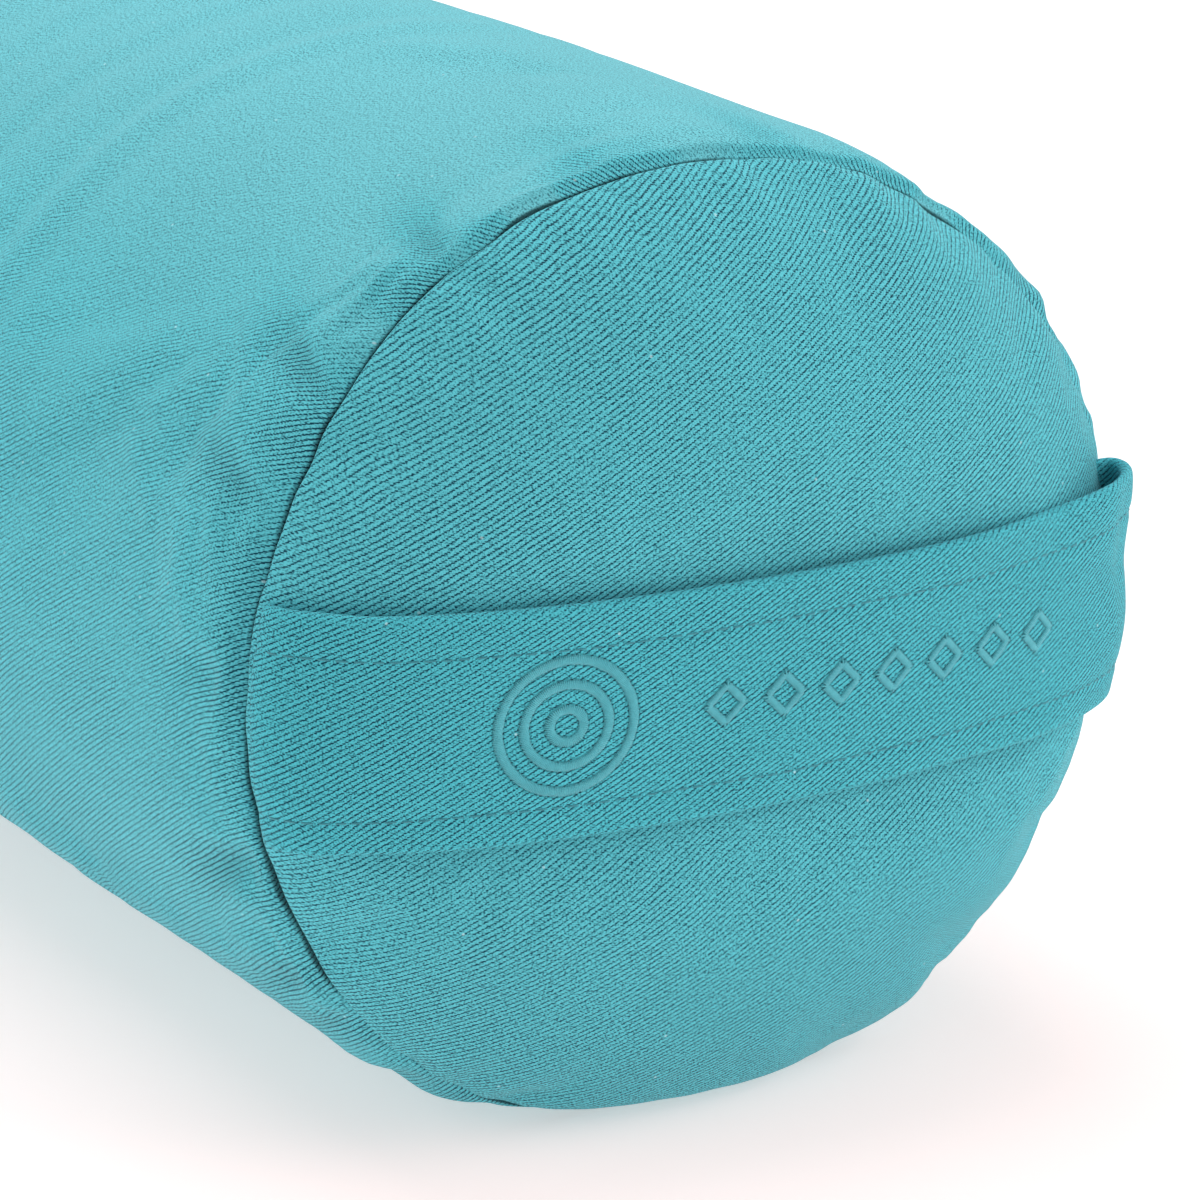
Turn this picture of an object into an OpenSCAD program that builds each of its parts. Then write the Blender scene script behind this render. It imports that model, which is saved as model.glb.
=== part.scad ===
// Round yoga bolster with a removable twill cover, a carry handle across one end and a zip along the back.
// Millimetres. X runs along the bolster, the handle is at +X, Z is up and the base lies on Z = 0.

/* [Bolster] */
// Width across the fullest part of the body
body_d = 218; // [212:1:250]
// Diameter at the end seams, where the cover pulls in
seam_d = 208; // [184:1:216]
// Length between the two end seams
seam_l = 540; // [530:5:700]
// Length of the shoulder between an end seam and the full width
shoulder_l = 40; // [30:1:45]
// Height of each crowned end above its seam
crown_h = 37; // [32:1:48]
// Radius where an end rolls over into its seam
edge_r = 22; // [16:1:26]
// Width of the flat where the filled bolster settles on the floor
base_w = 104; // [60:1:130]

/* [Cover] */
// Thickness of the cotton twill
twill_t = 1; // [0.6:0.1:1.6]
// Thickness of the calico inner case
case_t = 0.8; // [0.4:0.1:1.2]

/* [Handle] */
// Width of the strap
strap_w = 50; // [40:1:60]
// Thickness of the folded strap
strap_t = 3; // [2:0.1:4]
// Radius of the slack half of the strap, which stands off the end
slack_r = 520; // [460:10:640]
// Height of the strap's middle above the bolster's axis
strap_rise = 3; // [-6:1:12]
// Distance of the upper row of topstitching from the strap's edge
upper_stitch_inset = 9; // [4:0.5:12]
// Distance of the lower row of topstitching from the strap's edge
lower_stitch_inset = 7.5; // [4:0.5:12]

/* [Zip] */
// Angle of the zip below the horizontal, on the back
zip_angle = 25; // [15:1:40]
// Length of the closed chain
zip_l = 426; // [300:2:430]
// Width of one tape
tape_w = 14; // [11:0.5:16]

/* [Hidden] */
$fn = 96;

fit = 0.5;                          // clearance between the strap and the end under it
big = 2 * seam_l;                   // larger than anything cut with it
body_r = body_d / 2;
seam_r = seam_d / 2;
axis_h = sqrt(pow(body_r, 2) - pow(base_w / 2, 2));
shoulder_r = (pow(shoulder_l, 2) + pow(body_r - seam_r, 2)) / (2 * (body_r - seam_r));

// The crowned end is one large arc that rolls over into the seam through a small one.
roll_y = seam_r - edge_r;
crown_r = (pow(crown_h, 2) + pow(roll_y, 2) - pow(edge_r, 2)) / (2 * (crown_h - edge_r));
crown_c = crown_r - crown_h;
crown_a = asin(roll_y / (crown_r - edge_r));

// The strap's centre line: over the left roll and crown with little clearance, then slack to the right.
line_off = fit + strap_t / 2;
line_top = crown_h + line_off;
strap_start = 4.5;                  // the free strap begins this far out from the seam
left_start = asin(strap_start / (edge_r + line_off));
slack_edge_r = 24;
slack_y = seam_r + line_off - slack_edge_r;
slack_c = slack_r - line_top;
slack_roll_x = sqrt(pow(slack_r - slack_edge_r, 2) - pow(slack_y, 2)) - slack_c;
slack_a = asin(slack_y / (slack_r - slack_edge_r));

front_reach = line_top + strap_t / 2 + 0.5;
overall_l = crown_h + seam_l + front_reach;
rear_x = crown_h - overall_l / 2;
front_x = rear_x + seam_l;
mid_x = (front_x + rear_x) / 2;

case_inset = 2.6;                   // the inner case lies this far inside the cover's outer face
fill_inset = case_inset + case_t + 0.4;
case_depth = 5.2;                   // the cushion lies flat this far behind the zip, clear of the slider
fill_depth = case_depth + case_t + 0.4;
overlock_w = 8;
overlock_x = 5;                     // distance of the overlock's middle from its seam

thread_r = 0.25;
stitch_l = 2.6;
stitch_pitch = 3.4;
hand_row_l = 240;                   // length of the hand-closed seam in the inner case
hand_row_angle = 160;

ripple_radii = [3.5, 8.75, 14];
ripple_w = 2;
ripple_y = -50;                     // place of the rings along the strap
diamond_count = 7;
diamond_size = 7.4;
diamond_w = 1.6;
diamond_y = -16;                    // place of the first diamond along the strap
diamond_pitch = 13.5;

slit_w = 10.4;                      // width of the slit in the body panel
slit_over = 5;                      // length of slit past each end of the chain
row_angle = 4.2;                    // from the middle of the zip to each row of its stitching
coil_gap = 1.2;                     // between the two coils, for the slider's post
coil_w = 2.2;
coil_h = 2;
tape_t = 0.6;
tape_top = -1.2;                    // height of the tape's outer face, from the cover's outer face
tape_over = 12;                     // length of tape past each end of the chain
stop_h = 2.2;
stop_x = 2;                         // distance of a stop's middle from the end of the chain
slider_l = 11;
slider_w = 9;
slider_x = mid_x + zip_l / 2 - 10;
plate_t = 1;
hinge_n = 3.5;                      // height of the pull tab's bar above the cover
bar_r = 0.65;

teal = [0.36, 0.67, 0.71];
dark_teal = [0.27, 0.58, 0.63];
calico = [0.9, 0.87, 0.79];

// ---- body, ends and inner case as nested solids -------------------------------------------------

// Half outline of the body, from seam to seam, drawn in by an inset
module body_outline(inset) {
    translate([0, shoulder_l]) square([body_r - inset, seam_l - 2 * shoulder_l]);
    for (end = [0, 1])
        translate([0, end * seam_l]) mirror([0, end, 0]) intersection() {
            square([body_r, shoulder_l]);
            translate([body_r - shoulder_r, shoulder_l]) circle(r = shoulder_r - inset, $fn = 360);
        }
}

// Half outline of a crowned end, standing on its seam
module end_outline(inset) {
    intersection() {
        translate([0, -crown_c]) circle(r = crown_r - inset, $fn = 360);
        polygon([[0, 0], [roll_y, 0], [roll_y + crown_h * tan(crown_a), crown_h], [0, crown_h]]);
    }
    intersection() {
        translate([roll_y, 0]) circle(r = edge_r - inset);
        translate([roll_y, 0]) square(edge_r);
    }
}

// Turns a half outline about the bolster's axis and settles it on the floor
module settled(inset) {
    intersection() {
        translate([0, 0, axis_h]) rotate([0, 90, 0]) rotate_extrude($fn = 180) children();
        translate([-big / 2, -big / 2, inset]) cube(big);
    }
}

module body_solid(inset) { translate([rear_x, 0, 0]) settled(inset) body_outline(inset); }

module front_solid(inset) { translate([front_x, 0, 0]) settled(inset) end_outline(inset); }

module rear_solid(inset) {
    translate([rear_x, 0, 0]) mirror([1, 0, 0]) settled(inset) end_outline(inset);
}

// Cuts the cushion flat behind the zip
module behind_zip(depth) {
    intersection() {
        children();
        at_zip() translate([-big / 2, -big / 2, -big - depth]) cube(big);
    }
}

// ---- strap ---------------------------------------------------------------------------------------

// Sector of a circle about a point on the strap's plan, between two angles from +X
module sector(centre_x, r, from, to) {
    reach = 2 * r;
    translate([centre_x, 0]) intersection() {
        circle(r = r, $fn = 720);
        polygon([[0, 0], reach * [cos(from), sin(from)], reach * [cos(to), sin(to)]]);
    }
}

// Plan of everything behind a curve that runs off the strap's centre line
module behind_strap(off) {
    lap = 5;
    intersection() {
        union() {
            sector(-crown_c, crown_r + line_off + off, -crown_a, lap);
            sector(-slack_c, slack_r + off, 0, slack_a);
            translate([0, -roll_y]) circle(r = edge_r + line_off + off);
            translate([slack_roll_x, slack_y]) circle(r = slack_edge_r + off);
            translate([0, slack_y]) square([slack_roll_x, slack_edge_r + off]);
        }
        translate([strap_start, -seam_d]) square(2 * seam_d);
    }
}

// Plan of the strap, t thick and moved out by off from its centre line
module strap_plan(t, off = 0) {
    difference() {
        behind_strap(off + t / 2);
        behind_strap(off - t / 2);
    }
}

// A length of the strap, w wide, standing on the end
module strap_solid(t, w, off = 0) {
    at_strap() translate([0, 0, -w / 2]) linear_extrude(w) strap_plan(t, off);
}

module at_strap() { translate([front_x, 0, axis_h + strap_rise]) children(); }

// The strap's sewn end, which lies against the roll of the end just outside the seam
module strap_end() {
    gap = 0.3;
    at_strap() translate([0, 0, -strap_w / 2]) linear_extrude(strap_w)
        translate([gap, seam_r + line_off - strap_t / 2]) square([strap_start - 2 * gap, strap_t]);
}

// ---- stitches ------------------------------------------------------------------------------------

module stitch() { cylinder(r = thread_r, h = stitch_l, center = true, $fn = 16); }

// Stitches on the outside of an arc of the strap
module stitches_on_arc(r, from, to) {
    face_r = r + strap_t / 2 + thread_r + 0.05;
    count = round((to - from) * PI / 180 * face_r / stitch_pitch);
    for (i = [0:count - 1])
        rotate([0, 0, from + (i + 0.5) * (to - from) / count])
            translate([face_r, 0, 0]) rotate([90, 0, 0]) stitch();
}

// A row of topstitching along the strap, at a height from its middle
module strap_stitches(height) {
    at_strap() translate([0, 0, height]) {
        translate([0, -roll_y, 0]) stitches_on_arc(edge_r + line_off, left_start - 90, -crown_a);
        translate([-crown_c, 0, 0]) stitches_on_arc(crown_r + line_off, -crown_a, 0);
        translate([-slack_c, 0, 0]) stitches_on_arc(slack_r, 0, slack_a);
        translate([slack_roll_x, slack_y, 0]) stitches_on_arc(slack_edge_r, slack_a, 90);
    }
}

// A straight row of stitches along the bolster, on a surface of radius r
module long_row(r, length, angle) {
    count = floor(length / stitch_pitch);
    translate([0, 0, axis_h]) rotate([angle, 0, 0])
        for (i = [0:count - 1])
            translate([mid_x + (i - (count - 1) / 2) * stitch_pitch, r + thread_r + 0.05, 0])
                rotate([0, 90, 0]) stitch();
}

// ---- embroidery ----------------------------------------------------------------------------------

// Keeps of a flat pattern what lies in the thread's thickness on the strap's face.
// The pattern's X is down the strap's width and its Y is along the strap.
module on_strap_face() {
    thread_t = 0.5;
    intersection() {
        strap_solid(thread_t, strap_w, strap_t / 2 + thread_t / 2 + 0.05);
        at_strap() rotate([0, 90, 0]) linear_extrude(big) children();
    }
}

module ring(r, w) { difference() { circle(r = r + w / 2); circle(r = r - w / 2); } }

module diamond(size, w) {
    rotate(45) difference() { square(size, center = true); square(size - 2 * w, center = true); }
}

// ---- zip -----------------------------------------------------------------------------------------

// The zip's own frame: X along the bolster, Y down across the chain, Z out from the cover's face
module at_zip() {
    translate([0, 0, axis_h]) rotate([-zip_angle - 90, 0, 0]) translate([0, 0, body_r]) children();
}

module tape(side) {
    length = zip_l + 2 * tape_over;
    at_zip() intersection() {
        translate([mid_x - length / 2, 0, -body_r]) rotate([0, 90, 0]) difference() {
            cylinder(r = body_r + tape_top, h = length);
            translate([0, 0, -1]) cylinder(r = body_r + tape_top - tape_t, h = length + 2);
        }
        translate([mid_x - length / 2, side < 0 ? -tape_w - 1 : 1, -tape_w / 2]) cube([length, tape_w, tape_w]);
    }
}

module coil(side) {
    half = (coil_w - coil_h) / 2;
    at_zip() translate([mid_x - zip_l / 2, side * (coil_gap + coil_w) / 2, tape_top + coil_h / 2 + 0.05])
        rotate([90, 0, 90]) linear_extrude(zip_l) {
            square([2 * half, coil_h], center = true);
            for (x = [-half, half]) translate([x, 0]) circle(d = coil_h);
        }
}

// Plan of the slider's plates, wide where the two halves of the chain come together
module slider_plan(inset = 0) {
    front = slider_w / 2 - inset;
    back = slider_w * 0.36 - inset;
    end = slider_l / 2 - inset;
    polygon([
        [-end, -back + 1], [-end + 1, -back], [0, -front], [end - 2.5, -front], [end, -front + 2],
        [end, front - 2], [end - 2.5, front], [0, front], [-end + 1, back], [-end, back - 1]
    ]);
}

// ---- parts ---------------------------------------------------------------------------------------

module cover_body_panel() {
    color(teal) difference() {
        body_solid(0);
        body_solid(twill_t);
        at_zip() translate([mid_x - zip_l / 2 - slit_over, -slit_w / 2, -3])
            cube([zip_l + 2 * slit_over, slit_w, 6]);
    }
}

module cover_front_cap() { color(teal) difference() { front_solid(0); front_solid(twill_t); } }

module cover_rear_cap() { color(teal) difference() { rear_solid(0); rear_solid(twill_t); } }

// Overlocked edge of the panels, turned in along the inside of a seam
module seam_overlock(x) {
    color(dark_teal) intersection() {
        difference() { body_solid(twill_t + 0.2); body_solid(twill_t + 1); }
        translate([x - overlock_w / 2, -big / 2, 0]) cube([overlock_w, big, big]);
    }
}

module front_seam_overlock() { seam_overlock(front_x - overlock_x); }

module rear_seam_overlock() { seam_overlock(rear_x + overlock_x); }

module handle_strap() {
    color(teal) difference() {
        strap_solid(strap_t, strap_w);
        strap_solid(strap_t - 2 * twill_t + 0.1, strap_w - 4);
    }
}

module handle_interfacing() { color(calico) strap_solid(strap_t - 2 * twill_t - 0.1, strap_w - 4.4); }

module handle_left_end() { color(teal) mirror([0, 1, 0]) strap_end(); }

module handle_right_end() { color(teal) strap_end(); }

module handle_upper_topstitch() { color(dark_teal) strap_stitches(strap_w / 2 - upper_stitch_inset); }

module handle_lower_topstitch() { color(dark_teal) strap_stitches(lower_stitch_inset - strap_w / 2); }

module ripple_embroidery() {
    color(dark_teal) on_strap_face() translate([0, ripple_y]) for (r = ripple_radii) ring(r, ripple_w);
}

module diamond_embroidery() {
    color(dark_teal) on_strap_face() for (i = [0:diamond_count - 1])
        translate([0, diamond_y + diamond_pitch * i]) diamond(diamond_size, diamond_w);
}

module zip_upper_tape() { color(teal) tape(-1); }

module zip_lower_tape() { color(teal) tape(1); }

module zip_upper_coil() { color(dark_teal) coil(-1); }

module zip_lower_coil() { color(dark_teal) coil(1); }

// Pressed metal stop on the face of the tapes
module stop(length, width) {
    translate([-length / 2, -width / 2, tape_top + 0.05]) cube([length, width, stop_h]);
}

module zip_top_stops() {
    color("silver") at_zip() for (side = [-1, 1])
        translate([mid_x + zip_l / 2 + stop_x, side * (coil_gap + coil_w) / 2, 0]) stop(2.4, 2.8);
}

module zip_bottom_stop() {
    color("silver") at_zip() translate([mid_x - zip_l / 2 - stop_x, 0, 0]) stop(2.8, 6);
}

// Two plates joined by a post between the coils, with folded flanges and a bridge for the pull tab
module zip_slider() {
    bridge_l = 5.4;
    bridge_w = 2;
    bridge_h = 3.2;
    bridge_t = 1;
    post_l = 4;
    post_w = 0.6;
    flange_t = 0.7;
    flange_l = slider_l / 2 - 1.5;
    lap = 0.1;                      // pieces of the casting run this far into each other
    top = 1.25;
    bottom = tape_top - tape_t - 0.6;
    color("silver") at_zip() translate([slider_x, 0, 0]) {
        translate([0, 0, top]) linear_extrude(plate_t) slider_plan();
        translate([0, 0, bottom - plate_t]) linear_extrude(plate_t) slider_plan();
        translate([0.5, -post_w / 2, bottom - lap]) cube([post_l, post_w, top - bottom + 2 * lap]);
        for (side = [-1, 1])
            translate([-1, side * (slider_w - flange_t) / 2 - flange_t / 2, -0.5])
                cube([flange_l, flange_t, top + 0.5 + lap]);
        translate([0, 0, top + plate_t]) difference() {
            translate([-bridge_l / 2, -bridge_w / 2, -lap]) cube([bridge_l, bridge_w, bridge_h + lap]);
            translate([-bridge_l / 2 + bridge_t, -bridge_w, 0])
                cube([bridge_l - 2 * bridge_t, 2 * bridge_w, bridge_h - bridge_t + lap]);
        }
    }
}

// Flat tab with a round end, hung by a bar through the slider's bridge
module zip_pull_tab() {
    tab_l = 27;
    tab_w = 7;
    neck_l = 4;
    neck_w = 5.4;
    neck_lap = 1;
    eye_l = 5;
    eye_w = 2.8;
    hole_d = 3;
    round_x = -tab_l + tab_w / 2;
    color("silver") at_zip() translate([slider_x, 0, hinge_n]) {
        rotate([90, 0, 0]) cylinder(r = bar_r, h = neck_w, center = true);
        translate([0, 0, -bar_r]) linear_extrude(2 * bar_r) difference() {
            union() {
                translate([round_x, -tab_w / 2]) square([-round_x - neck_l + neck_lap, tab_w]);
                translate([round_x, 0]) circle(d = tab_w);
                translate([-neck_l, -neck_w / 2]) square([neck_l, neck_w]);
            }
            translate([-eye_l, -eye_w / 2]) square([eye_l + 1, eye_w]);
            translate([round_x, 0]) circle(d = hole_d);
        }
    }
}

module zip_upper_stitching() { color(dark_teal) long_row(body_r, zip_l, row_angle - zip_angle); }

module zip_lower_stitching() { color(dark_teal) long_row(body_r, zip_l, -row_angle - zip_angle); }

module case_body_panel() {
    color(calico) difference() {
        behind_zip(case_depth) body_solid(case_inset);
        behind_zip(case_depth + case_t) body_solid(case_inset + case_t);
    }
}

module case_front_end() {
    color(calico) difference() { front_solid(case_inset); front_solid(case_inset + case_t); }
}

module case_rear_end() {
    color(calico) difference() { rear_solid(case_inset); rear_solid(case_inset + case_t); }
}

module case_closing_stitches() { color("white") long_row(body_r - case_inset, hand_row_l, hand_row_angle); }

module fill_core() {
    color("ivory") {
        behind_zip(fill_depth) body_solid(fill_inset);
        front_solid(fill_inset);
        rear_solid(fill_inset);
    }
}

cover_body_panel();
cover_front_cap();
cover_rear_cap();
front_seam_overlock();
rear_seam_overlock();
handle_strap();
handle_interfacing();
handle_left_end();
handle_right_end();
handle_upper_topstitch();
handle_lower_topstitch();
ripple_embroidery();
diamond_embroidery();
zip_upper_tape();
zip_lower_tape();
zip_upper_coil();
zip_lower_coil();
zip_top_stops();
zip_bottom_stop();
zip_slider();
zip_pull_tab();
zip_upper_stitching();
zip_lower_stitching();
case_body_panel();
case_front_end();
case_rear_end();
case_closing_stitches();
fill_core();
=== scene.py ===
import math

import bpy
import numpy as np
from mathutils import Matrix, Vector


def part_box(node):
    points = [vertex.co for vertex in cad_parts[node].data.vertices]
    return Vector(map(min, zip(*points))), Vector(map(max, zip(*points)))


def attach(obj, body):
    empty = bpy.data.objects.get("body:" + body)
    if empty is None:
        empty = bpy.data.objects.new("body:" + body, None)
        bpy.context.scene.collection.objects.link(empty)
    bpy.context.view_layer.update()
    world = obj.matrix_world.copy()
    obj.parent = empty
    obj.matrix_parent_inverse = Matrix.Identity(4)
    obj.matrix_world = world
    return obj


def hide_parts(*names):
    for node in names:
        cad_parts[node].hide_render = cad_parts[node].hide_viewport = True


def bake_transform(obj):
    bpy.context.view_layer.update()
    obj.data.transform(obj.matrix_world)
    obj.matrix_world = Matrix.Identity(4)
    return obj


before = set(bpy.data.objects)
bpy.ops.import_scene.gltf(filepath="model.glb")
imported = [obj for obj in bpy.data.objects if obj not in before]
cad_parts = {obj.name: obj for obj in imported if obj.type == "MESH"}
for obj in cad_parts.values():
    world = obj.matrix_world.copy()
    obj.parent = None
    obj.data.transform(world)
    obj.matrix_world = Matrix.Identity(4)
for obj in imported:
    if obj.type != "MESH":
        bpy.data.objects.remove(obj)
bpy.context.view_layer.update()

# Looks of a round yoga bolster. Lengths are in millimetres unless a comment says metres, and become metres
# when a mesh is made. X runs along the bolster with the handle at +X, and Z is up. An angle round the body,
# phi, starts at the bottom, climbs the -Y side, and passes over the top at 180 degrees.
MM = 0.001
TURN = 2 * math.pi
QUARTER = math.pi / 2


# ---- places taken from the frame ----

def box_mm(node):
    """Lowest and highest corners of a CAD node, in millimetres."""
    low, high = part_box(node)
    return np.array(low) / MM, np.array(high) / MM


FRONT_X = box_mm("cover_front_cap")[0][0]
REAR_X = box_mm("cover_rear_cap")[1][0]
BODY_R = box_mm("cover_body_panel")[1][1]
SEAM_R = box_mm("cover_front_cap")[1][1]
AXIS_Z = box_mm("cover_body_panel")[1][2] - BODY_R
CROWN_H = box_mm("cover_front_cap")[1][0] - FRONT_X
STRAP_LOW, STRAP_HIGH = box_mm("handle_strap")
STRAP_W = STRAP_HIGH[2] - STRAP_LOW[2]
STRAP_Z = (STRAP_HIGH[2] + STRAP_LOW[2]) / 2
CHAIN_LOW, CHAIN_HIGH = box_mm("zip_upper_coil")
ZIP_PHI = math.radians(295)


# ---- the settled shape ----

FLAT_END = 0.99         # height over width of the settled section at a seam
FLAT_BODY = 0.945       # and where the body is full
MIDDLE_Z = AXIS_Z + 2.4  # height of the settled section's middle
GROOVE_R = 0.8          # radius at which each panel rolls into the seam
GROOVE_GAP = 0.4        # distance between the two panels in the seam
ALLOWANCE = 4.0         # cloth turned in past the roll
FLOOR_BLEND = 9.0       # how softly the section turns into its flat base
SWELL = 9.3             # how far the stuffed body stands out past its seams
SWELL_LENGTH = 6.5      # distance over which it does so
FRONT_SEED = 11
REAR_SEED = 41


def soft_max(a, b, width):
    """Larger of a and b, with a rounded corner of the given width."""
    share = np.clip(0.5 + 0.5 * (a - b) / width, 0, 1)
    return b + (a - b) * share + width * share * (1 - share)


def smooth_step(low, high, value):
    """Rises smoothly from 0 at low to 1 at high."""
    share = np.clip((value - low) / (high - low), 0, 1)
    return share * share * (3 - 2 * share)


def bell(value, width):
    """1 where value is 0, falling off to both sides over the width."""
    return np.exp(-(value / width) ** 2)


def waves(phi, seed, first, last):
    """Smooth periodic noise round the bolster, from a few harmonics, about -1 to 1."""
    rng = np.random.default_rng(seed)
    counts = np.arange(first, last + 1)
    phases = rng.uniform(0, TURN, len(counts))
    sizes = rng.uniform(0.5, 1, len(counts))
    total = sum(s * np.cos(n * phi + p) for n, p, s in zip(counts, phases, sizes))
    return total / np.sqrt((sizes ** 2).sum())


def grid(rows, columns):
    """Both values at each crossing of rows and columns."""
    return np.meshgrid(rows, columns, indexing="ij")


def round_angles(count):
    """Evenly spaced angles once round."""
    return np.linspace(0, TURN, count, endpoint=False)


def run_length(x, y):
    """Distance of each point along a line of points."""
    return np.concatenate([[0], np.cumsum(np.hypot(np.diff(x), np.diff(y)))])


def unit(vectors):
    return vectors / np.linalg.norm(vectors, axis=-1, keepdims=True)


def radial(phi):
    """Unit vectors out from the bolster's axis."""
    return np.stack([0 * phi, -np.sin(phi), -np.cos(phi)], axis=-1)


def angle_from(phi, centre):
    """Signed angle from a centre, between -pi and pi."""
    return (phi - centre + math.pi) % TURN - math.pi


def seam_shift(phi, seed):
    """How far a seam wanders along the bolster at each angle."""
    return 0.55 * waves(phi, seed, 3, 9) + 0.32 * waves(phi, seed + 1, 14, 34)


# Where a seam bulges out or pulls in: angle in degrees, distance, width in degrees
SEAM_BULGES = ((150, 1.9, 15), (201, 1.6, 9), (186, -0.6, 7), (66, -0.9, 9), (41, -0.9, 9), (262, 2.0, 16))


def seam_sink(phi, seed):
    """How far a seam dips towards the axis, where the thread gathers the cloth."""
    fine = 0.3 * waves(phi, seed + 2, 5, 14) + 0.22 * waves(phi, seed + 3, 24, 60)
    return fine - sum(distance * bell(angle_from(phi, math.radians(angle)), math.radians(width))
                      for angle, distance, width in SEAM_BULGES)


def section(phi, radius):
    """Points across the bolster at an angle and radius, settled on the floor."""
    share = np.clip((radius - SEAM_R) / SWELL, 0, 1)
    flat = FLAT_END + (FLAT_BODY - FLAT_END) * share
    y = -radius * np.sin(phi)
    z = soft_max(MIDDLE_Z - flat * radius * np.cos(phi), 0 * phi, FLOOR_BLEND)
    return y, z


# ---- body and ends ----

# Dents where the seam gathers the cloth: angle in degrees, depth, width round the seam, distance behind
# it, and how far it slants round for each millimetre behind it
BODY_DENTS = (
    (147, 2.6, 3.6, 12, 0.35), (143, -0.5, 3.5, 10, 0.3), (128, 2.8, 3.2, 12, 0.4),
    (115, 2.6, 3.4, 13, 0.3), (119, -0.5, 3.5, 11, 0.2), (96, 1.0, 4, 10, 0.0),
    (75, 2.8, 3.6, 13, -0.5), (70, -0.5, 4, 11, -0.4), (59, 2.6, 3.2, 11, -0.5),
    (51, 2.0, 3.0, 11, -0.5), (39, 1.5, 3.0, 10, -0.4), (33, -0.4, 3, 8, -0.3),
    (27, 0.9, 3.2, 11, -0.4), (168, 1.3, 4.5, 11, 0.1), (190, 1.4, 5, 12, 0.0),
    (214, 1.8, 4, 12, -0.2), (236, 2.1, 4, 12, 0.2), (262, 1.8, 4, 12, 0.2),
    (318, 1.9, 4, 12, 0.3), (12, 0.8, 4, 10, 0.1),
)
CAP_DENTS = (
    (124, 1.9, 5, 9, 0.3), (193, 1.7, 11, 13, 0.0), (315, 2.6, 9, 20, 0.5), (300, 1.6, 6, 13, 0.4),
    (225, 1.0, 8, 14, 0.0), (60, 1.2, 7, 10, 0.2), (28, 1.5, 6, 9, -0.2), (340, 1.6, 7, 12, 0.3),
    (150, 0.9, 6, 8, 0.0), (170, 0.8, 6, 8, 0.1),
)
GATHER_REACH = 9.0      # how far the small gathers run from a seam
SLIT_START = CHAIN_LOW[0] - 5
SLIT_END = CHAIN_HIGH[0] + 5
SLIT_HALF = 5.2         # half the width of the zip's slit in the cover
SLIT_ROLL = 1.1         # radius at which the cover rolls into it
COLUMNS = 400           # points round the cover's fine meshes
CAP_H = CROWN_H - 0.2   # crown of an end above its roll
QUARTER_ROLL = GROOVE_R * QUARTER
BODY_LENGTH = FRONT_X - REAR_X - 2 * (GROOVE_R + GROOVE_GAP / 2)


def swell(x):
    """Radius of the body's skin along the bolster."""
    front = np.clip(FRONT_X - x, 0, None)
    rear = np.clip(x - REAR_X, 0, None)
    full = 2.6 * smooth_step(0, 170, np.minimum(front, rear))
    return SEAM_R + SWELL * (1 - np.exp(-front / SWELL_LENGTH) - np.exp(-rear / SWELL_LENGTH)) + full


def beside_seam(distance, reach):
    """Rises from nothing at a seam to 1 at reach, then fades."""
    return (distance / reach) * np.exp(1 - distance / reach)


def gathers(phi, distance, seed):
    """Small puckers that fade away from a seam."""
    fine = 0.24 * waves(phi, seed, 48, 92) * beside_seam(distance, 3.5)
    broad = 0.6 * waves(phi, seed + 1, 16, 44) * beside_seam(distance, GATHER_REACH)
    return fine + broad


def dents(phi, distance, radius, table):
    """Depth of the larger dents beside a seam."""
    total = np.zeros(np.broadcast(phi, distance).shape)
    for angle, depth, width, reach, slant in table:
        across = angle_from(phi, math.radians(angle)) * radius - slant * distance
        profile = bell(across, 0.85 * width + 0.17 * distance)
        total = total + 1.35 * depth * profile * beside_seam(distance, reach) ** 1.6
    return total


def roll(s):
    """Profile of a panel's edge at fabric distance s from the top of its roll, as distance out of the seam
    and drop. Below zero the panel rolls down and turns in."""
    turn = np.clip(-s / GROOVE_R, 0, QUARTER)
    out = GROOVE_GAP / 2 + GROOVE_R * (1 - np.sin(turn)) + np.clip(s, 0, None)
    drop = GROOVE_R * (1 - np.cos(turn)) + np.clip(-s - QUARTER_ROLL, 0, None)
    return out, drop


def graded(start, *stretches):
    """Numbers from start through stretches, each given as its end and its step."""
    values = [start]
    for end, step in stretches:
        count = max(1, round((end - values[-1]) / step))
        values.extend(np.linspace(values[-1], end, count + 1)[1:])
    return np.array(values)


def body_columns():
    """Fabric distances of the body's columns from the roll at the front seam, graded by detail."""
    slit_start = FRONT_X - GROOVE_R - SLIT_END
    slit_stop = FRONT_X - GROOVE_R - SLIT_START
    tuck = -QUARTER_ROLL - ALLOWANCE
    front = graded(tuck, (-QUARTER_ROLL, 1.4), (0, 0.35), (6, 0.6), (24, 1.2), (slit_start - 3, 2.4),
                   (slit_start + 1, 0.5), (190, 3.4), (slit_stop - 1, 5.6), (slit_stop + 3, 0.6))
    rear = graded(tuck, (-QUARTER_ROLL, 2), (0, 0.5), (24, 2.4), (BODY_LENGTH - slit_stop - 3, 4))
    return np.concatenate([front, (BODY_LENGTH - rear[:-1])[::-1]])


def body_rows():
    """Angles of the body's rows, closer together beside the zip."""
    plain = round_angles(COLUMNS)
    offsets = np.array([0, 0.3, 0.7, 1.2, 1.9, 2.8]) + SLIT_HALF
    beside = ZIP_PHI + np.concatenate([-offsets, offsets]) / BODY_R
    apart = np.abs(plain[:, None] - beside[None]).min(axis=1) > 0.35 / BODY_R
    return np.sort(np.concatenate([plain[apart], beside]))


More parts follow.
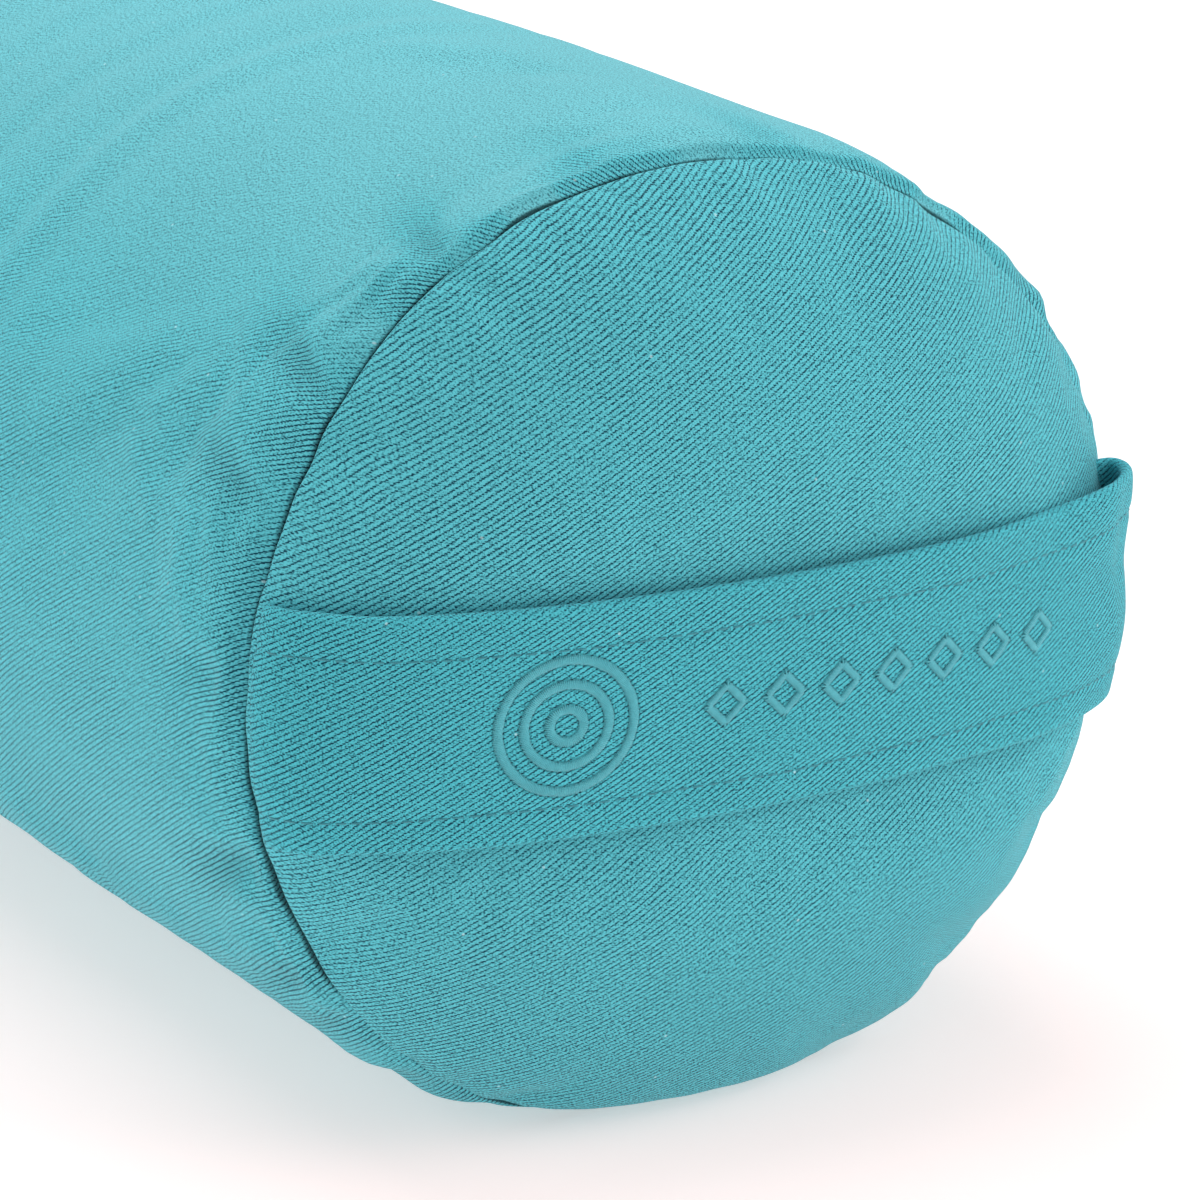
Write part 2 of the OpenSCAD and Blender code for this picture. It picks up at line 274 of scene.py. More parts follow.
def slit_drop(x, phi):
    """How far the cloth rolls down at the edge of the zip's slit."""
    along = np.clip(np.maximum(SLIT_START - x, x - SLIT_END), 0, None)
    across = np.clip(np.abs(angle_from(phi, ZIP_PHI)) * BODY_R - SLIT_HALF, 0, None)
    reach = np.clip(1 - np.hypot(along, across) / SLIT_ROLL, 0, 1)
    return SLIT_ROLL * (1 - np.sqrt(1 - reach ** 2))


def zip_hold(x, phi):
    """Share by which the skin keeps to the zip's own circle."""
    across = np.abs(angle_from(phi, ZIP_PHI)) * BODY_R
    along = np.maximum(SLIT_START - x, x - SLIT_END)
    return (1 - smooth_step(11, 30, across)) * (1 - smooth_step(6, 24, along))


def undulation(x, phi):
    """Broad unevenness of the filling, and soft creases round the upper side."""
    broad = waves(phi, 5, 2, 7) * np.cos(x / 61 + 0.6) + 0.6 * waves(phi, 6, 3, 9) * np.cos(x / 33 + 2)
    top = bell(angle_from(phi, math.radians(150)), 0.75)
    lean = x + 14 * np.cos(phi - 2.4)
    creases = np.sin(lean / 3.1) * np.sin(lean / 21 + 1) + 0.6 * np.sin(lean / 4.6 + 2)
    far = smooth_step(70, 150, FRONT_X - x) * (1 - smooth_step(330, 430, FRONT_X - x))
    return 0.5 * broad + 0.55 * creases * top * far


def body_shape(s, phi):
    """Points of the body's skin over a grid of fabric distances and angles."""
    front = s < BODY_LENGTH / 2
    out, drop = roll(np.where(front, s, BODY_LENGTH - s))
    shift = np.where(front, seam_shift(phi, FRONT_SEED), seam_shift(phi, REAR_SEED)) * np.exp(-out / 22)
    sink = np.where(front, seam_sink(phi, FRONT_SEED), seam_sink(phi, REAR_SEED)) * np.exp(-out / 6)
    x = np.where(front, FRONT_X + shift - out, REAR_X + shift + out)
    gather = np.where(front, gathers(phi, out, 71), gathers(phi, out, 81))
    dent = dents(np.where(front, phi, TURN - phi), out, BODY_R, BODY_DENTS)
    y, z = section(phi, swell(x) - drop - sink + gather - dent + undulation(x, phi))
    hold = zip_hold(x, phi)
    flat_y, flat_z = -BODY_R * np.sin(phi), AXIS_Z - BODY_R * np.cos(phi)
    y, z = y + (flat_y - y) * hold, z + (flat_z - z) * hold
    rim = np.hypot(y, z - AXIS_Z)
    scale = 1 - slit_drop(x, phi) / rim
    return np.stack([x, y * scale, AXIS_Z + (z - AXIS_Z) * scale], axis=-1)


STRAP_HALF = 1.45       # half the thickness of the folded strap
STRAP_MIDDLE_Z = AXIS_Z + 4  # height of its middle line once settled
STRAP_LEAN = 2.3        # how far the strap's upper edge stands out past its middle
LEAN_REACH = 25         # and its distance from the middle
STRAP_ENDS = 22         # length of the strap at each end that is off the crown
BOW_HEIGHT = 36.0       # how far the strap's middle stands out of the front seam's plane
BOW_REACH = 103.3       # and how far to each side it bows
BOW_CORNER = 2.5        # radius at which it turns in at each end
TUCK_X = 1.6            # distance out of the seam's plane of its sewn ends
TUCK_Y = 96.0           # and how far across they reach back
PRESS_REACH = 97        # how far to each side the strap presses on the front end


def strap_line():
    """The strap's middle line in plan, out from the front seam and across: out of the left seam, over the
    crown in one flat bow and into the right seam."""
    base = TUCK_X + BOW_CORNER
    corner = np.linspace(0, QUARTER, 8)
    bow = np.linspace(QUARTER, 0, 120)[1:]
    half_x = np.concatenate([[TUCK_X], base - BOW_CORNER * np.cos(corner),
                             base + (BOW_HEIGHT - base) * np.clip(np.cos(bow), 0, 1) ** 1.1])
    half_y = np.concatenate([[TUCK_Y], BOW_REACH - BOW_CORNER * (1 - np.sin(corner)),
                             BOW_REACH * np.sin(bow)])
    x = np.concatenate([half_x, half_x[-2::-1]])
    y = np.concatenate([-half_y, half_y[-2::-1]])
    return run_length(x, y), x, y


LINE_S, LINE_X, LINE_Y = strap_line()
STRAP_LENGTH = LINE_S[-1]
OVER_CROWN = slice(*np.searchsorted(LINE_S, (STRAP_ENDS, STRAP_LENGTH - STRAP_ENDS)))


def dome(share, height):
    """Height of a crowned end at a share of the way from its middle to its edge."""
    return height * np.clip(1 - share ** 2.9, 0, 1) ** 0.77


def press(height, y, z):
    """Height of the front end where the strap holds it down."""
    w = z - STRAP_MIDDLE_Z
    strap_x = np.interp(y, LINE_Y[OVER_CROWN], LINE_X[OVER_CROWN])
    strap_x = strap_x + STRAP_LEAN * np.clip(w / LEAN_REACH, -1, 1)
    reach = 1 - smooth_step(STRAP_W / 2, STRAP_W / 2 + 26, np.abs(w))
    room = STRAP_HALF + 0.35 + 1.1 * smooth_step(12, 24, np.abs(w))
    over = np.where(np.abs(y) < PRESS_REACH, height - strap_x + room, 0)
    return height - soft_max(over, 0 * over, 0.8) * reach


def cap_undulation(t, phi, seed):
    """Broad unevenness of a crowned end."""
    slow = 0.7 * waves(phi, seed + 7, 2, 6) * np.cos(3 * t)
    quick = 0.35 * waves(phi, seed + 8, 5, 11) * np.sin(5 * t)
    return np.sin(t) ** 2 * (slow + quick)


def cap_shape(t, s, phi, side, seed, table):
    """Height, y and z of a crowned end. t runs from 0 at the middle to a right angle at the roll, and s is
    below zero past the roll."""
    out, drop = roll(s)
    distance = (QUARTER - t) * CAP_H * 0.6 + (1 - np.sin(t)) * SEAM_R
    edge = np.exp(-distance / 8)
    push = 0.4 * gathers(phi, distance, seed + 60) - dents(phi, distance, SEAM_R, table)
    push = push + cap_undulation(t, phi, seed)
    radius = (SEAM_R + push) * np.sin(t) - drop - seam_sink(phi, seed) * edge
    height = dome(np.sin(t), CAP_H + push) + out + side * seam_shift(phi, seed) * edge
    y, z = section(phi, radius)
    if side > 0:
        height = press(height, y, z)
    return height, y, z


# ---- settling the cloth ----

SETTLE_COLUMNS = 180    # points round the coarse cover
SETTLE_CAP = 3.0        # furthest that the simulation may move a point
SETTLE_ROWS = graded(0, (36, 3), (120, 7), (BODY_LENGTH / 2, 15))
SETTLE_ROWS = np.concatenate([SETTLE_ROWS, BODY_LENGTH - SETTLE_ROWS[-2::-1]])
SETTLE_TURNS = np.linspace(0.06, QUARTER, 24)
SETTLE_FRAMES = 20
FIELDS = {}             # how far each coarse grid moves, by name


def tight_cover():
    """Coarse grids of the whole cover, from the front's middle to the rear's, and where each is held."""
    angle = round_angles(SETTLE_COLUMNS)
    t, phi = grid(SETTLE_TURNS, angle)
    front = np.stack(cap_shape(t, 0 * t, phi, 1, FRONT_SEED, CAP_DENTS), axis=-1) + [FRONT_X, 0, 0]
    rear = np.stack(cap_shape(t, 0 * t, phi, -1, REAR_SEED, CAP_DENTS[::-1]), axis=-1)
    rear = (rear * [-1, 1, 1] + [REAR_X, 0, 0])[::-1]
    s, phi = grid(SETTLE_ROWS, angle)
    body = body_shape(s, phi)
    strap = (np.abs(front[..., 2] - STRAP_MIDDLE_Z) < STRAP_W / 2 + 4).astype(float)
    held = [strap, zip_hold(body[..., 0], phi), np.zeros(rear.shape[:2])]
    for panel, hold, top in zip((front, body, rear), held, (16, 48, 16)):
        hold[:] = np.maximum(hold, 1 - smooth_step(4, top, panel[..., 2]))
    held[0][-1], held[1][0], held[1][-1], held[2][0] = 1, 1, 1, 1
    return (front, body, rear), np.concatenate([hold.ravel() for hold in held])


def settle():
    """Lets the cover, cut a little larger than it stands, buckle against its seams under the filling's
    pressure. Keeps how far each grid moves, in millimetres."""
    panels, held = tight_cover()
    points = np.concatenate([panel.reshape(-1, 3) for panel in panels])
    rows = len(points) // SETTLE_COLUMNS
    mesh = bpy.data.meshes.new("settling")
    mesh.from_pydata((points * MM).tolist(), [], tube_faces(rows, SETTLE_COLUMNS))
    cover = bpy.data.objects.new("settling", mesh)
    scene = bpy.context.scene
    scene.collection.objects.link(cover)
    group = cover.vertex_groups.new(name="held")
    for level in np.unique(np.round(held, 1)):
        group.add(np.flatnonzero(np.round(held, 1) == level).tolist(), float(level), "REPLACE")
    cloth = cover.modifiers.new("cloth", "CLOTH")
    settings = cloth.settings
    settings.quality = 6
    settings.mass = 0.25
    settings.tension_stiffness = settings.compression_stiffness = 18
    settings.shear_stiffness = 6
    settings.bending_stiffness = 0.12
    settings.use_pressure = True
    settings.uniform_pressure_force = 4
    settings.shrink_min = -0.02
    settings.vertex_group_mass = "held"
    settings.effector_weights.gravity = 0
    cloth.point_cache.frame_start, cloth.point_cache.frame_end = 1, SETTLE_FRAMES
    for frame_number in range(1, SETTLE_FRAMES + 1):
        scene.frame_set(frame_number)
    settled = cover.evaluated_get(bpy.context.evaluated_depsgraph_get()).to_mesh()
    moved = np.empty(len(points) * 3)
    settled.vertices.foreach_get("co", moved)
    moved = moved.reshape(-1, 3) / MM - points
    moved -= np.median(moved[held < 0.5], axis=0)
    reach = np.linalg.norm(moved, axis=1, keepdims=True)
    moved *= SETTLE_CAP * np.tanh(reach / SETTLE_CAP) / np.maximum(reach, 1e-6)
    moved *= (1 - held)[:, None]
    bpy.data.objects.remove(cover)
    scene.frame_set(1)
    first = 0
    for name, panel, share in zip(("front", "body", "rear"), panels, (0.4, 0.75, 0.4)):
        count = panel.size // 3
        FIELDS[name] = moved[first:first + count].reshape(panel.shape) * share
        first += count


def cubic(share):
    """Weights of the four neighbours of a place between the middle two."""
    return (-share / 2 + share ** 2 - share ** 3 / 2, 1 - 2.5 * share ** 2 + 1.5 * share ** 3,
            share / 2 + 2 * share ** 2 - 1.5 * share ** 3, (share ** 3 - share ** 2) / 2)


def settled(name, row, phi):
    """How far the cloth moved at places between the coarse rows; nothing where no cloth was settled."""
    if name not in FIELDS:
        return 0.0
    field = FIELDS[name]
    column = phi / TURN * SETTLE_COLUMNS
    i, j = np.floor(row).astype(int), np.floor(column).astype(int)
    total = 0.0
    for di, wi in zip((-1, 0, 1, 2), cubic(row - i)):
        for dj, wj in zip((-1, 0, 1, 2), cubic(column - j)):
            near = field[np.clip(i + di, 0, len(field) - 1), (j + dj) % SETTLE_COLUMNS]
            total = total + (wi * wj)[..., None] * near
    return total


# ---- meshes ----

def place_in_scene(name, data, place=(0, 0, 0), aim=None):
    """A new object in the scene, turned to face aim where one is given."""
    thing = bpy.data.objects.new(name, data)
    thing.location = place
    if aim is not None:
        thing.rotation_euler = (Vector(aim) - thing.location).to_track_quat("-Z", "Y").to_euler()
    bpy.context.scene.collection.objects.link(thing)
    return thing


def make_piece(name, points, faces, material, weave=None):
    """A smooth mesh piece from points in millimetres. weave gives each face corner a place in the cloth."""
    mesh = bpy.data.meshes.new(name)
    mesh.from_pydata((points.reshape(-1, 3) * MM).tolist(), [], faces)
    mesh.polygons.foreach_set("use_smooth", np.ones(len(mesh.polygons), dtype=bool))
    if weave is not None:
        layer = mesh.uv_layers.new(name="weave")
        layer.data.foreach_set("uv", np.asarray(weave, dtype=np.float32).ravel())
    mesh.materials.append(material)
    return place_in_scene(name, mesh)


def grid_faces(rows, columns, closed):
    """Quads over a grid of points, closed round the second direction or open."""
    i = np.arange(rows - 1)[:, None]
    j = np.arange(columns if closed else columns - 1)[None]
    k = (j + 1) % columns
    corners = [i * columns + j, i * columns + k, (i + 1) * columns + k, (i + 1) * columns + j]
    return np.stack([np.broadcast_to(c, (rows - 1, j.shape[1])) for c in corners], axis=-1).reshape(-1, 4)


def tube_faces(rows, columns, start=True, end=True):
    """Quads round a tube of rings, with a face over each end that is closed."""
    faces = grid_faces(rows, columns, True).tolist()
    if start:
        faces.append(list(range(columns))[::-1])
    if end:
        faces.append([(rows - 1) * columns + j for j in range(columns)])
    return faces


def grid_weave(u, v, wrap=None):
    """Cloth places for the corners of grid_faces; wrap is how far v steps where the grid closes."""
    if wrap is not None:
        u = np.concatenate([u, u[:, :1]], axis=1)
        v = np.concatenate([v, v[:, :1] + wrap], axis=1)
    both = np.stack([u, v], axis=-1)
    return np.stack([both[:-1, :-1], both[:-1, 1:], both[1:, 1:], both[1:, :-1]], axis=2).reshape(-1, 4, 2)


def set_look(piece, name, values):
    """Stores a number at each point for the twill to read. One is how open its furrows look and how deep
    their painted shade:
    0 where painted light leaves them shallow and the cloth paler, 1 or more where the cloth is stretched
    and where painted shade falls. shade is painted shade where the cloth lies deep in a seam or a dent, up
    to 1."""
    layer = piece.data.attributes.new(name, "FLOAT", "POINT")
    layer.data.foreach_set("value", np.ravel(values).astype(np.float32))


def tuck_shade(past):
    """Shade of cloth at a distance past the top of its roll into a seam."""
    return 0.9 * smooth_step(0.45, 1.2, past)


def make_body(material):
    s, phi = grid(body_columns(), body_rows())
    points = body_shape(s, phi)
    row = np.interp(s, SETTLE_ROWS, np.arange(len(SETTLE_ROWS)))
    points = points + settled("body", row, phi)
    faces = grid_faces(*s.shape, True)
    weave = grid_weave(-s, phi * BODY_R, TURN * BODY_R)
    middle_x = points[..., 0].ravel()[faces].mean(axis=1)
    middle_across = np.abs(angle_from(phi, ZIP_PHI)).ravel()[faces].mean(axis=1) * BODY_R
    outside = (middle_x < SLIT_START) | (middle_x > SLIT_END) | (middle_across > SLIT_HALF)
    piece = make_piece("body_cloth", points, faces[outside].tolist(), material, weave[outside])
    # Painted light: the furrows are shallow and pale on top, where the light falls from above. They open
    # where the seams pull at the cloth, and in the dents their painted shade deepens
    distance = np.clip(np.minimum(s, BODY_LENGTH - s), 0, None)
    dent = np.clip(dents(phi, distance, BODY_R, BODY_DENTS), 0, 4)
    pull_and_dent_shade = 1.1 * np.exp(-distance / 5) * np.clip(0.7 + 0.9 * waves(phi, 33, 9, 40), 0, 1.6)
    pull_and_dent_shade = pull_and_dent_shade + 0.3 * np.clip(dent, 0, 3)
    set_look(piece, "stretch_and_painted_light", 0.93 - 0.7 * smooth_step(0.45, 1.0, -np.cos(phi)) + pull_and_dent_shade)
    # Painted shade darkens the cloth tucked into the seams and in the deeper dents
    set_look(piece, "shade", tuck_shade(np.maximum(-s, s - BODY_LENGTH)) + 0.012 * dent ** 2)
    return piece


def make_cap(name, material, side, seam_x, seed, table):
    """A crowned end; side is 1 at the front and -1 at the rear."""
    rings = 96
    start = 0.012       # angle of the first ring, round the face that closes the middle
    tuck = -graded(0, (QUARTER_ROLL, QUARTER_ROLL / 6), (QUARTER_ROLL + ALLOWANCE, ALLOWANCE / 3))
    t_line = np.concatenate([np.linspace(start, QUARTER, rings), np.full(len(tuck) - 1, QUARTER)])
    s_line = np.concatenate([np.zeros(rings - 1), tuck])
    t, phi = grid(t_line, round_angles(COLUMNS))
    s = np.broadcast_to(s_line[:, None], t.shape)
    height, y, z = cap_shape(t, s, phi, side, seed, table)
    points = np.stack([seam_x + side * height, y, z], axis=-1)
    row = np.interp(t, SETTLE_TURNS, np.arange(len(SETTLE_TURNS)))
    row = row if side > 0 else len(SETTLE_TURNS) - 1 - row
    points = points + settled("front" if side > 0 else "rear", row, phi)
    across = SEAM_R * np.sin(t_line)
    reach = across + 0.15 * (run_length(across, CAP_H * np.cos(t_line)) + SEAM_R * start - across) - s_line
    up = points[..., 2] - MIDDLE_Z
    grow = 1 + (reach - across)[:, None] / np.maximum(np.hypot(points[..., 1], up), 1)
    u, v = side * points[..., 1] * grow, up * grow
    corners = grid_faces(*t.shape, True)[:, ::side]
    weave = grid_weave(u, v, 0)[:, ::side]
    here = np.arange(COLUMNS)
    beyond = np.roll(here, -1)
    hub = np.stack([0 * here + t.size, beyond, here], axis=-1)[:, ::side]
    places = np.stack([u[0], v[0]], axis=-1)
    hub_weave = np.stack([0 * places, places[beyond], places[here]], axis=1)[:, ::side]
    points = np.concatenate([points.reshape(-1, 3), points[0].mean(axis=0)[None]])
    weave = np.concatenate([weave.reshape(-1, 2), hub_weave.reshape(-1, 2)])
    piece = make_piece(name, points, corners.tolist() + hub.tolist(), material, weave)
    # Paler, with shallower furrows, at the upper right; painted shade deepens the furrows in the hollow
    # above the strap and low down towards the floor
    upper_right = smooth_step(30, 85, points[:, 1]) * (1 - smooth_step(60, 110, points[:, 2]))
    shade_over_strap = bell(points[:, 2] - STRAP_MIDDLE_Z - STRAP_W / 2 - 4, 15)
    shade_over_strap = shade_over_strap * smooth_step(-100, -60, -points[:, 1])
    under = 1 - smooth_step(15, 65, points[:, 2])
    set_look(piece, "stretch_and_painted_light", 1.14 - 0.12 * upper_right + 0.3 * shade_over_strap + 0.3 * under)
    set_look(piece, "shade", np.append(tuck_shade(-s), 0))
    return piece


# ---- strap ----

UPPER_ROW, LOWER_ROW = (sum(corner[2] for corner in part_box(f"handle_{side}_topstitch")) / 2 / MM - STRAP_Z
                        for side in ("upper", "lower"))  # places of the topstitching across the strap
CORNER_PULL = (3.2, 2.6, 1.6)  # how far the strap's upper right corner stands off
SEAM_SLACK = 2          # how far the strap's ends stand out round the seam


def strap_middle(s, w):
    """Points on the strap's middle surface, s along it and w across it from its middle."""
    line_x, line_y = np.interp(s, LINE_S, LINE_X), np.interp(s, LINE_S, LINE_Y)
    z = STRAP_MIDDLE_Z + w
    level = (z - MIDDLE_Z) / (FLAT_END * SEAM_R)
    # Above and below the end's middle the strap reaches the seam sooner
    reach = SEAM_R * np.sqrt(1 - level ** 2) + SEAM_SLACK
    middle_reach = SEAM_R + SEAM_SLACK
    y = line_y * (1 + (reach / middle_reach - 1) * smooth_step(40, middle_reach, np.abs(line_y)))
    on_end = 1 - smooth_step(88, 99, np.abs(line_y))
    x = line_x + STRAP_LEAN * w / LEAN_REACH * on_end * (1 - 0.8 * smooth_step(40, 75, line_y))
    # Its right end is fuller in the middle, and its upper corner stands off
    corner = smooth_step(70, 96, line_y) * (1 - smooth_step(103, 107, line_y)) * smooth_step(3, 25, w)
    fuller = bell(line_y - 98, 7) * bell(w + 9, 9)
    x, y, z = (value + pull * corner for value, pull in zip((x, y + 1.3 * fuller, z), CORNER_PULL))
    return np.stack([FRONT_X + x, y, z], axis=-1)


def strap_outward(s, w):
    """Unit vectors out of the strap's face."""
    step = 0.6
    along = strap_middle(s + step, w) - strap_middle(s - step, w)
    across = strap_middle(s, w + step) - strap_middle(s, w - step)
    return unit(np.cross(along, across))


def off_strap(s, w, out):
    """Points at a distance out from the strap's middle surface."""
    return strap_middle(s, w) + strap_outward(s, w) * out[..., None]


def strap_puff(s, w):
    """How far the strap's outer face stands off its middle surface: pressed in along both rows of stitching
    and eased a little between them, with soft creases at its right end."""
    rows = bell(w - UPPER_ROW, 1.0) + bell(w - LOWER_ROW, 1.0)
    eased = 0.22 * np.cos(s / 17 + w / 9) + 0.16 * np.cos(s / 7.5 - w / 6 + 1)
    line_y = np.interp(s, LINE_S, LINE_Y)
    crease = 0.6 * bell(line_y - 97 + 0.12 * w, 3.2) * smooth_step(-22, 0, w)
    return STRAP_HALF - 0.36 * rows + eased * smooth_step(0, 12, s) - crease


def strap_face(s, w, lift=0.0):
    """Points on the strap's outer face, or off it by lift."""
    return off_strap(s, w, strap_puff(s, w) + lift)


def strap_round():
    """Once round the folded strap: place across it, share of the way out, and distance in the cloth."""
    flat = STRAP_W / 2 - STRAP_HALF
    face = np.linspace(-flat, flat, 60)
    back = np.linspace(flat, -flat, 30)
    bend = np.linspace(0, math.pi, 9)[1:-1]
    w = np.concatenate([face, flat + STRAP_HALF * np.sin(bend), back, -flat - STRAP_HALF * np.sin(bend)])
    out = np.concatenate([1 + 0 * face, np.cos(bend), 0 * back - 1, -np.cos(bend)])
    return w, out, run_length(w, out * STRAP_HALF) - flat


def make_strap(material):
    w_line, out_line, cloth = strap_round()
    s, w = grid(np.linspace(0, STRAP_LENGTH, 300), w_line)
    out = np.broadcast_to(out_line, s.shape)
    depth = np.where(out > 0, strap_puff(s, w), STRAP_HALF) * out
    thin = (1 - 0.35 * (1 - smooth_step(2, 10, s))
            - 0.35 * smooth_step(STRAP_LENGTH - 10, STRAP_LENGTH - 2, s))
    points = off_strap(s, w, depth * thin)
    v = np.broadcast_to(cloth, s.shape)
    gap = math.hypot(w_line[-1] - w_line[0], STRAP_HALF * (out_line[-1] - out_line[0]))
    wrap = cloth[-1] - cloth[0] + gap
    faces = grid_faces(*s.shape, True)[:, ::-1]
    weave = grid_weave(s, v, wrap)[:, ::-1]
    piece = make_piece("handle_sleeve", points, faces.tolist(), material, weave)
    line_y = np.interp(s, LINE_S, LINE_Y)
    edge = smooth_step(STRAP_W / 2 - 2.4, STRAP_W / 2 - 1.2, np.abs(w))
    # Paler, with shallower furrows, at its folded edges and towards its right end
    set_look(piece, "stretch_and_painted_light", 1.4 - 0.5 * edge - 0.1 * smooth_step(55, 95, line_y))
    return piece


STIFF_EDGE = 2.3        # how far the stiffener stays inside the strap's edges
STIFF_END = 16          # and inside its ends
STIFF_HALF = 0.35       # half its thickness
STIFF_SET = 0.5         # and how far it lies behind the strap's middle


def make_stiffener(material):
    """The interfacing inside the strap, a thin strip on its middle surface."""
    half = STRAP_W / 2 - STIFF_EDGE
    w_line = np.concatenate([np.linspace(-half, half, 12), np.linspace(half, -half, 12)])
    side = np.repeat([STIFF_HALF, -STIFF_HALF], 12) - STIFF_SET
    s, w = grid(np.linspace(STIFF_END, STRAP_LENGTH - STIFF_END, 80), w_line)
    points = off_strap(s, w, np.broadcast_to(side, s.shape))
    faces = [face[::-1] for face in tube_faces(*s.shape)]
    return make_piece("handle_stiffener", points, faces, material)


# ---- threads ----

def thread_points(start, end, outward, radius, lift, steps, sides):
    """Rings of points round arched threads, as threads by steps by sides."""
    t = np.linspace(0, 1, steps)
    arch = lift * (1 - np.abs(2 * t - 1) ** 3)
    centre = (start[:, None] + (end - start)[:, None] * t[None, :, None]
              + outward[:, None] * arch[None, :, None])
    along = np.gradient(centre, axis=1)
    side = unit(np.cross(along, outward[:, None]))
    rise = unit(np.cross(side, along))
    angle = round_angles(sides)
    thick = radius * (1 - 0.35 * np.abs(2 * t - 1) ** 4)[None, :, None, None]
    cos, sin = (wave(angle)[None, None, :, None] for wave in (np.cos, np.sin))
    return centre[:, :, None] + thick * (side[:, :, None] * cos + rise[:, :, None] * sin)


def make_threads(name, start, end, outward, material, radius=0.25, lift=0.3, steps=7, sides=7):
    """One piece of many short arched threads, closed at their ends."""
    rings = thread_points(start, end, outward, radius, lift, steps, sides)
    per = steps * sides
    offsets = np.arange(len(start))[:, None, None] * per
    tubes = (grid_faces(steps, sides, True) + offsets).reshape(-1, 4)[:, ::-1]
    ends = (np.array([range(sides), range(per - 1, per - sides - 1, -1)]) + offsets).reshape(-1, sides)
    return make_piece(name, rings, tubes.tolist() + ends.tolist(), material)


STITCH_PITCH = 3.4
STITCH = 2.7            # length of a stitch that shows
THREAD_R = 0.24


def make_topstitch(name, row, material):
    """A row of stitching along the strap, each stitch half sunk in its furrow."""
    centres = np.arange(9, STRAP_LENGTH - 9, STITCH_PITCH)
    w = row + 0.12 * np.sin(centres * 1.7)
    start, end = (strap_face(centres + reach, w, -0.16) for reach in (-STITCH / 2, STITCH / 2))
    return make_threads(name, start, end, strap_outward(centres, w), material, radius=THREAD_R, lift=0.2)


RING_RADII = (3.5, 8.75, 14)
RING_WIDTH = 2.0        # width of the rings' satin columns
DIAMONDS = 7
DIAMOND_SIDE = 5.8
DIAMOND_WIDTH = 1.6     # width of the diamonds' satin columns
SATIN_PITCH = 0.37      # distance between satin stitches


def satin(path_s, path_w, width, seed):
    """Starts and ends of satin stitches laid side by side across a closed path on the strap."""
    along_s = np.roll(path_s, -1) - np.roll(path_s, 1)
    along_w = np.roll(path_w, -1) - np.roll(path_w, 1)
    length = np.hypot(along_s, along_w)
    across_s, across_w = -along_w / length, along_s / length
    rng = np.random.default_rng(seed)
    half = width / 2 + rng.uniform(-0.1, 0.1, len(path_s))
    start = strap_face(path_s - across_s * half, path_w - across_w * half, -0.15)
    end = strap_face(path_s + across_s * half, path_w + across_w * half, -0.15)
    return start, end, strap_outward(path_s, path_w)


def make_satin(name, paths, width, material):
    """One piece of satin columns, each along a closed path."""
    parts = [satin(s, w, width, i) for i, (s, w) in enumerate(paths)]
    start, end, outward = (np.concatenate(group) for group in zip(*parts))
    return make_threads(name, start, end, outward, material, radius=0.21, lift=0.5, steps=8, sides=6)


def ring_path(centre_s, radius):
    """Places of the satin stitches round a ring."""
    angle = round_angles(round(TURN * radius / SATIN_PITCH))
    return centre_s + radius * np.cos(angle), radius * np.sin(angle)


def diamond_path(centre_s, size):
    """Places of the satin stitches round a square that stands on its corner."""
    corner = size / math.sqrt(2)
    count = round(size / SATIN_PITCH)
    share = np.arange(count) / count
    s = corner * np.concatenate([1 - share, -share, share - 1, share])
    w = corner * np.concatenate([share, 1 - share, -share, share - 1])
    return centre_s + s, w


def embroidery_places():
    """Where the rings' middle, the first diamond and the next diamonds lie along the strap."""
    low, high = box_mm("ripple_embroidery")
    ring_s = np.interp((low[1] + high[1]) / 2, LINE_Y[OVER_CROWN], LINE_S[OVER_CROWN])
    low, high = box_mm("diamond_embroidery")
    reach = DIAMOND_SIDE / math.sqrt(2) + 1.2
    first_s, last_s = np.interp((low[1] + reach, high[1] - reach), LINE_Y[OVER_CROWN], LINE_S[OVER_CROWN])
    return float(ring_s), float(first_s), float(last_s - first_s) / (DIAMONDS - 1)


def make_embroidery(material):
    ring_s, first_s, apart = embroidery_places()
    rings = [ring_path(ring_s, radius) for radius in RING_RADII]
    diamonds = [diamond_path(first_s + i * apart, DIAMOND_SIDE) for i in range(DIAMONDS)]
    return (make_satin("ripple_threads", rings, RING_WIDTH, material),
            make_satin("diamond_threads", diamonds, DIAMOND_WIDTH, material))


# ---- zip ----

ZIP_OUT = radial(np.array(ZIP_PHI))
ZIP_DOWN = np.array([0, -math.cos(ZIP_PHI), math.sin(ZIP_PHI)])
TAPE_TOP = -1.2         # height of the tapes' face from the cover's skin
COIL_MIDDLE = 1.7       # how far each coil's middle lies from the chain's
COIL_PITCH = 1.3
COIL_FILAMENT = 0.36    # radius of the filament
COIL_STEPS = 12         # rings of points to a turn


def on_zip(x, across, out):
    """Points in the zip's frame: along the bolster, down across the chain, and out from the cover."""
    return (np.stack([x, 0 * x, 0 * x + AXIS_Z], axis=-1) + across[..., None] * ZIP_DOWN
            + (BODY_R + out)[..., None] * ZIP_OUT)


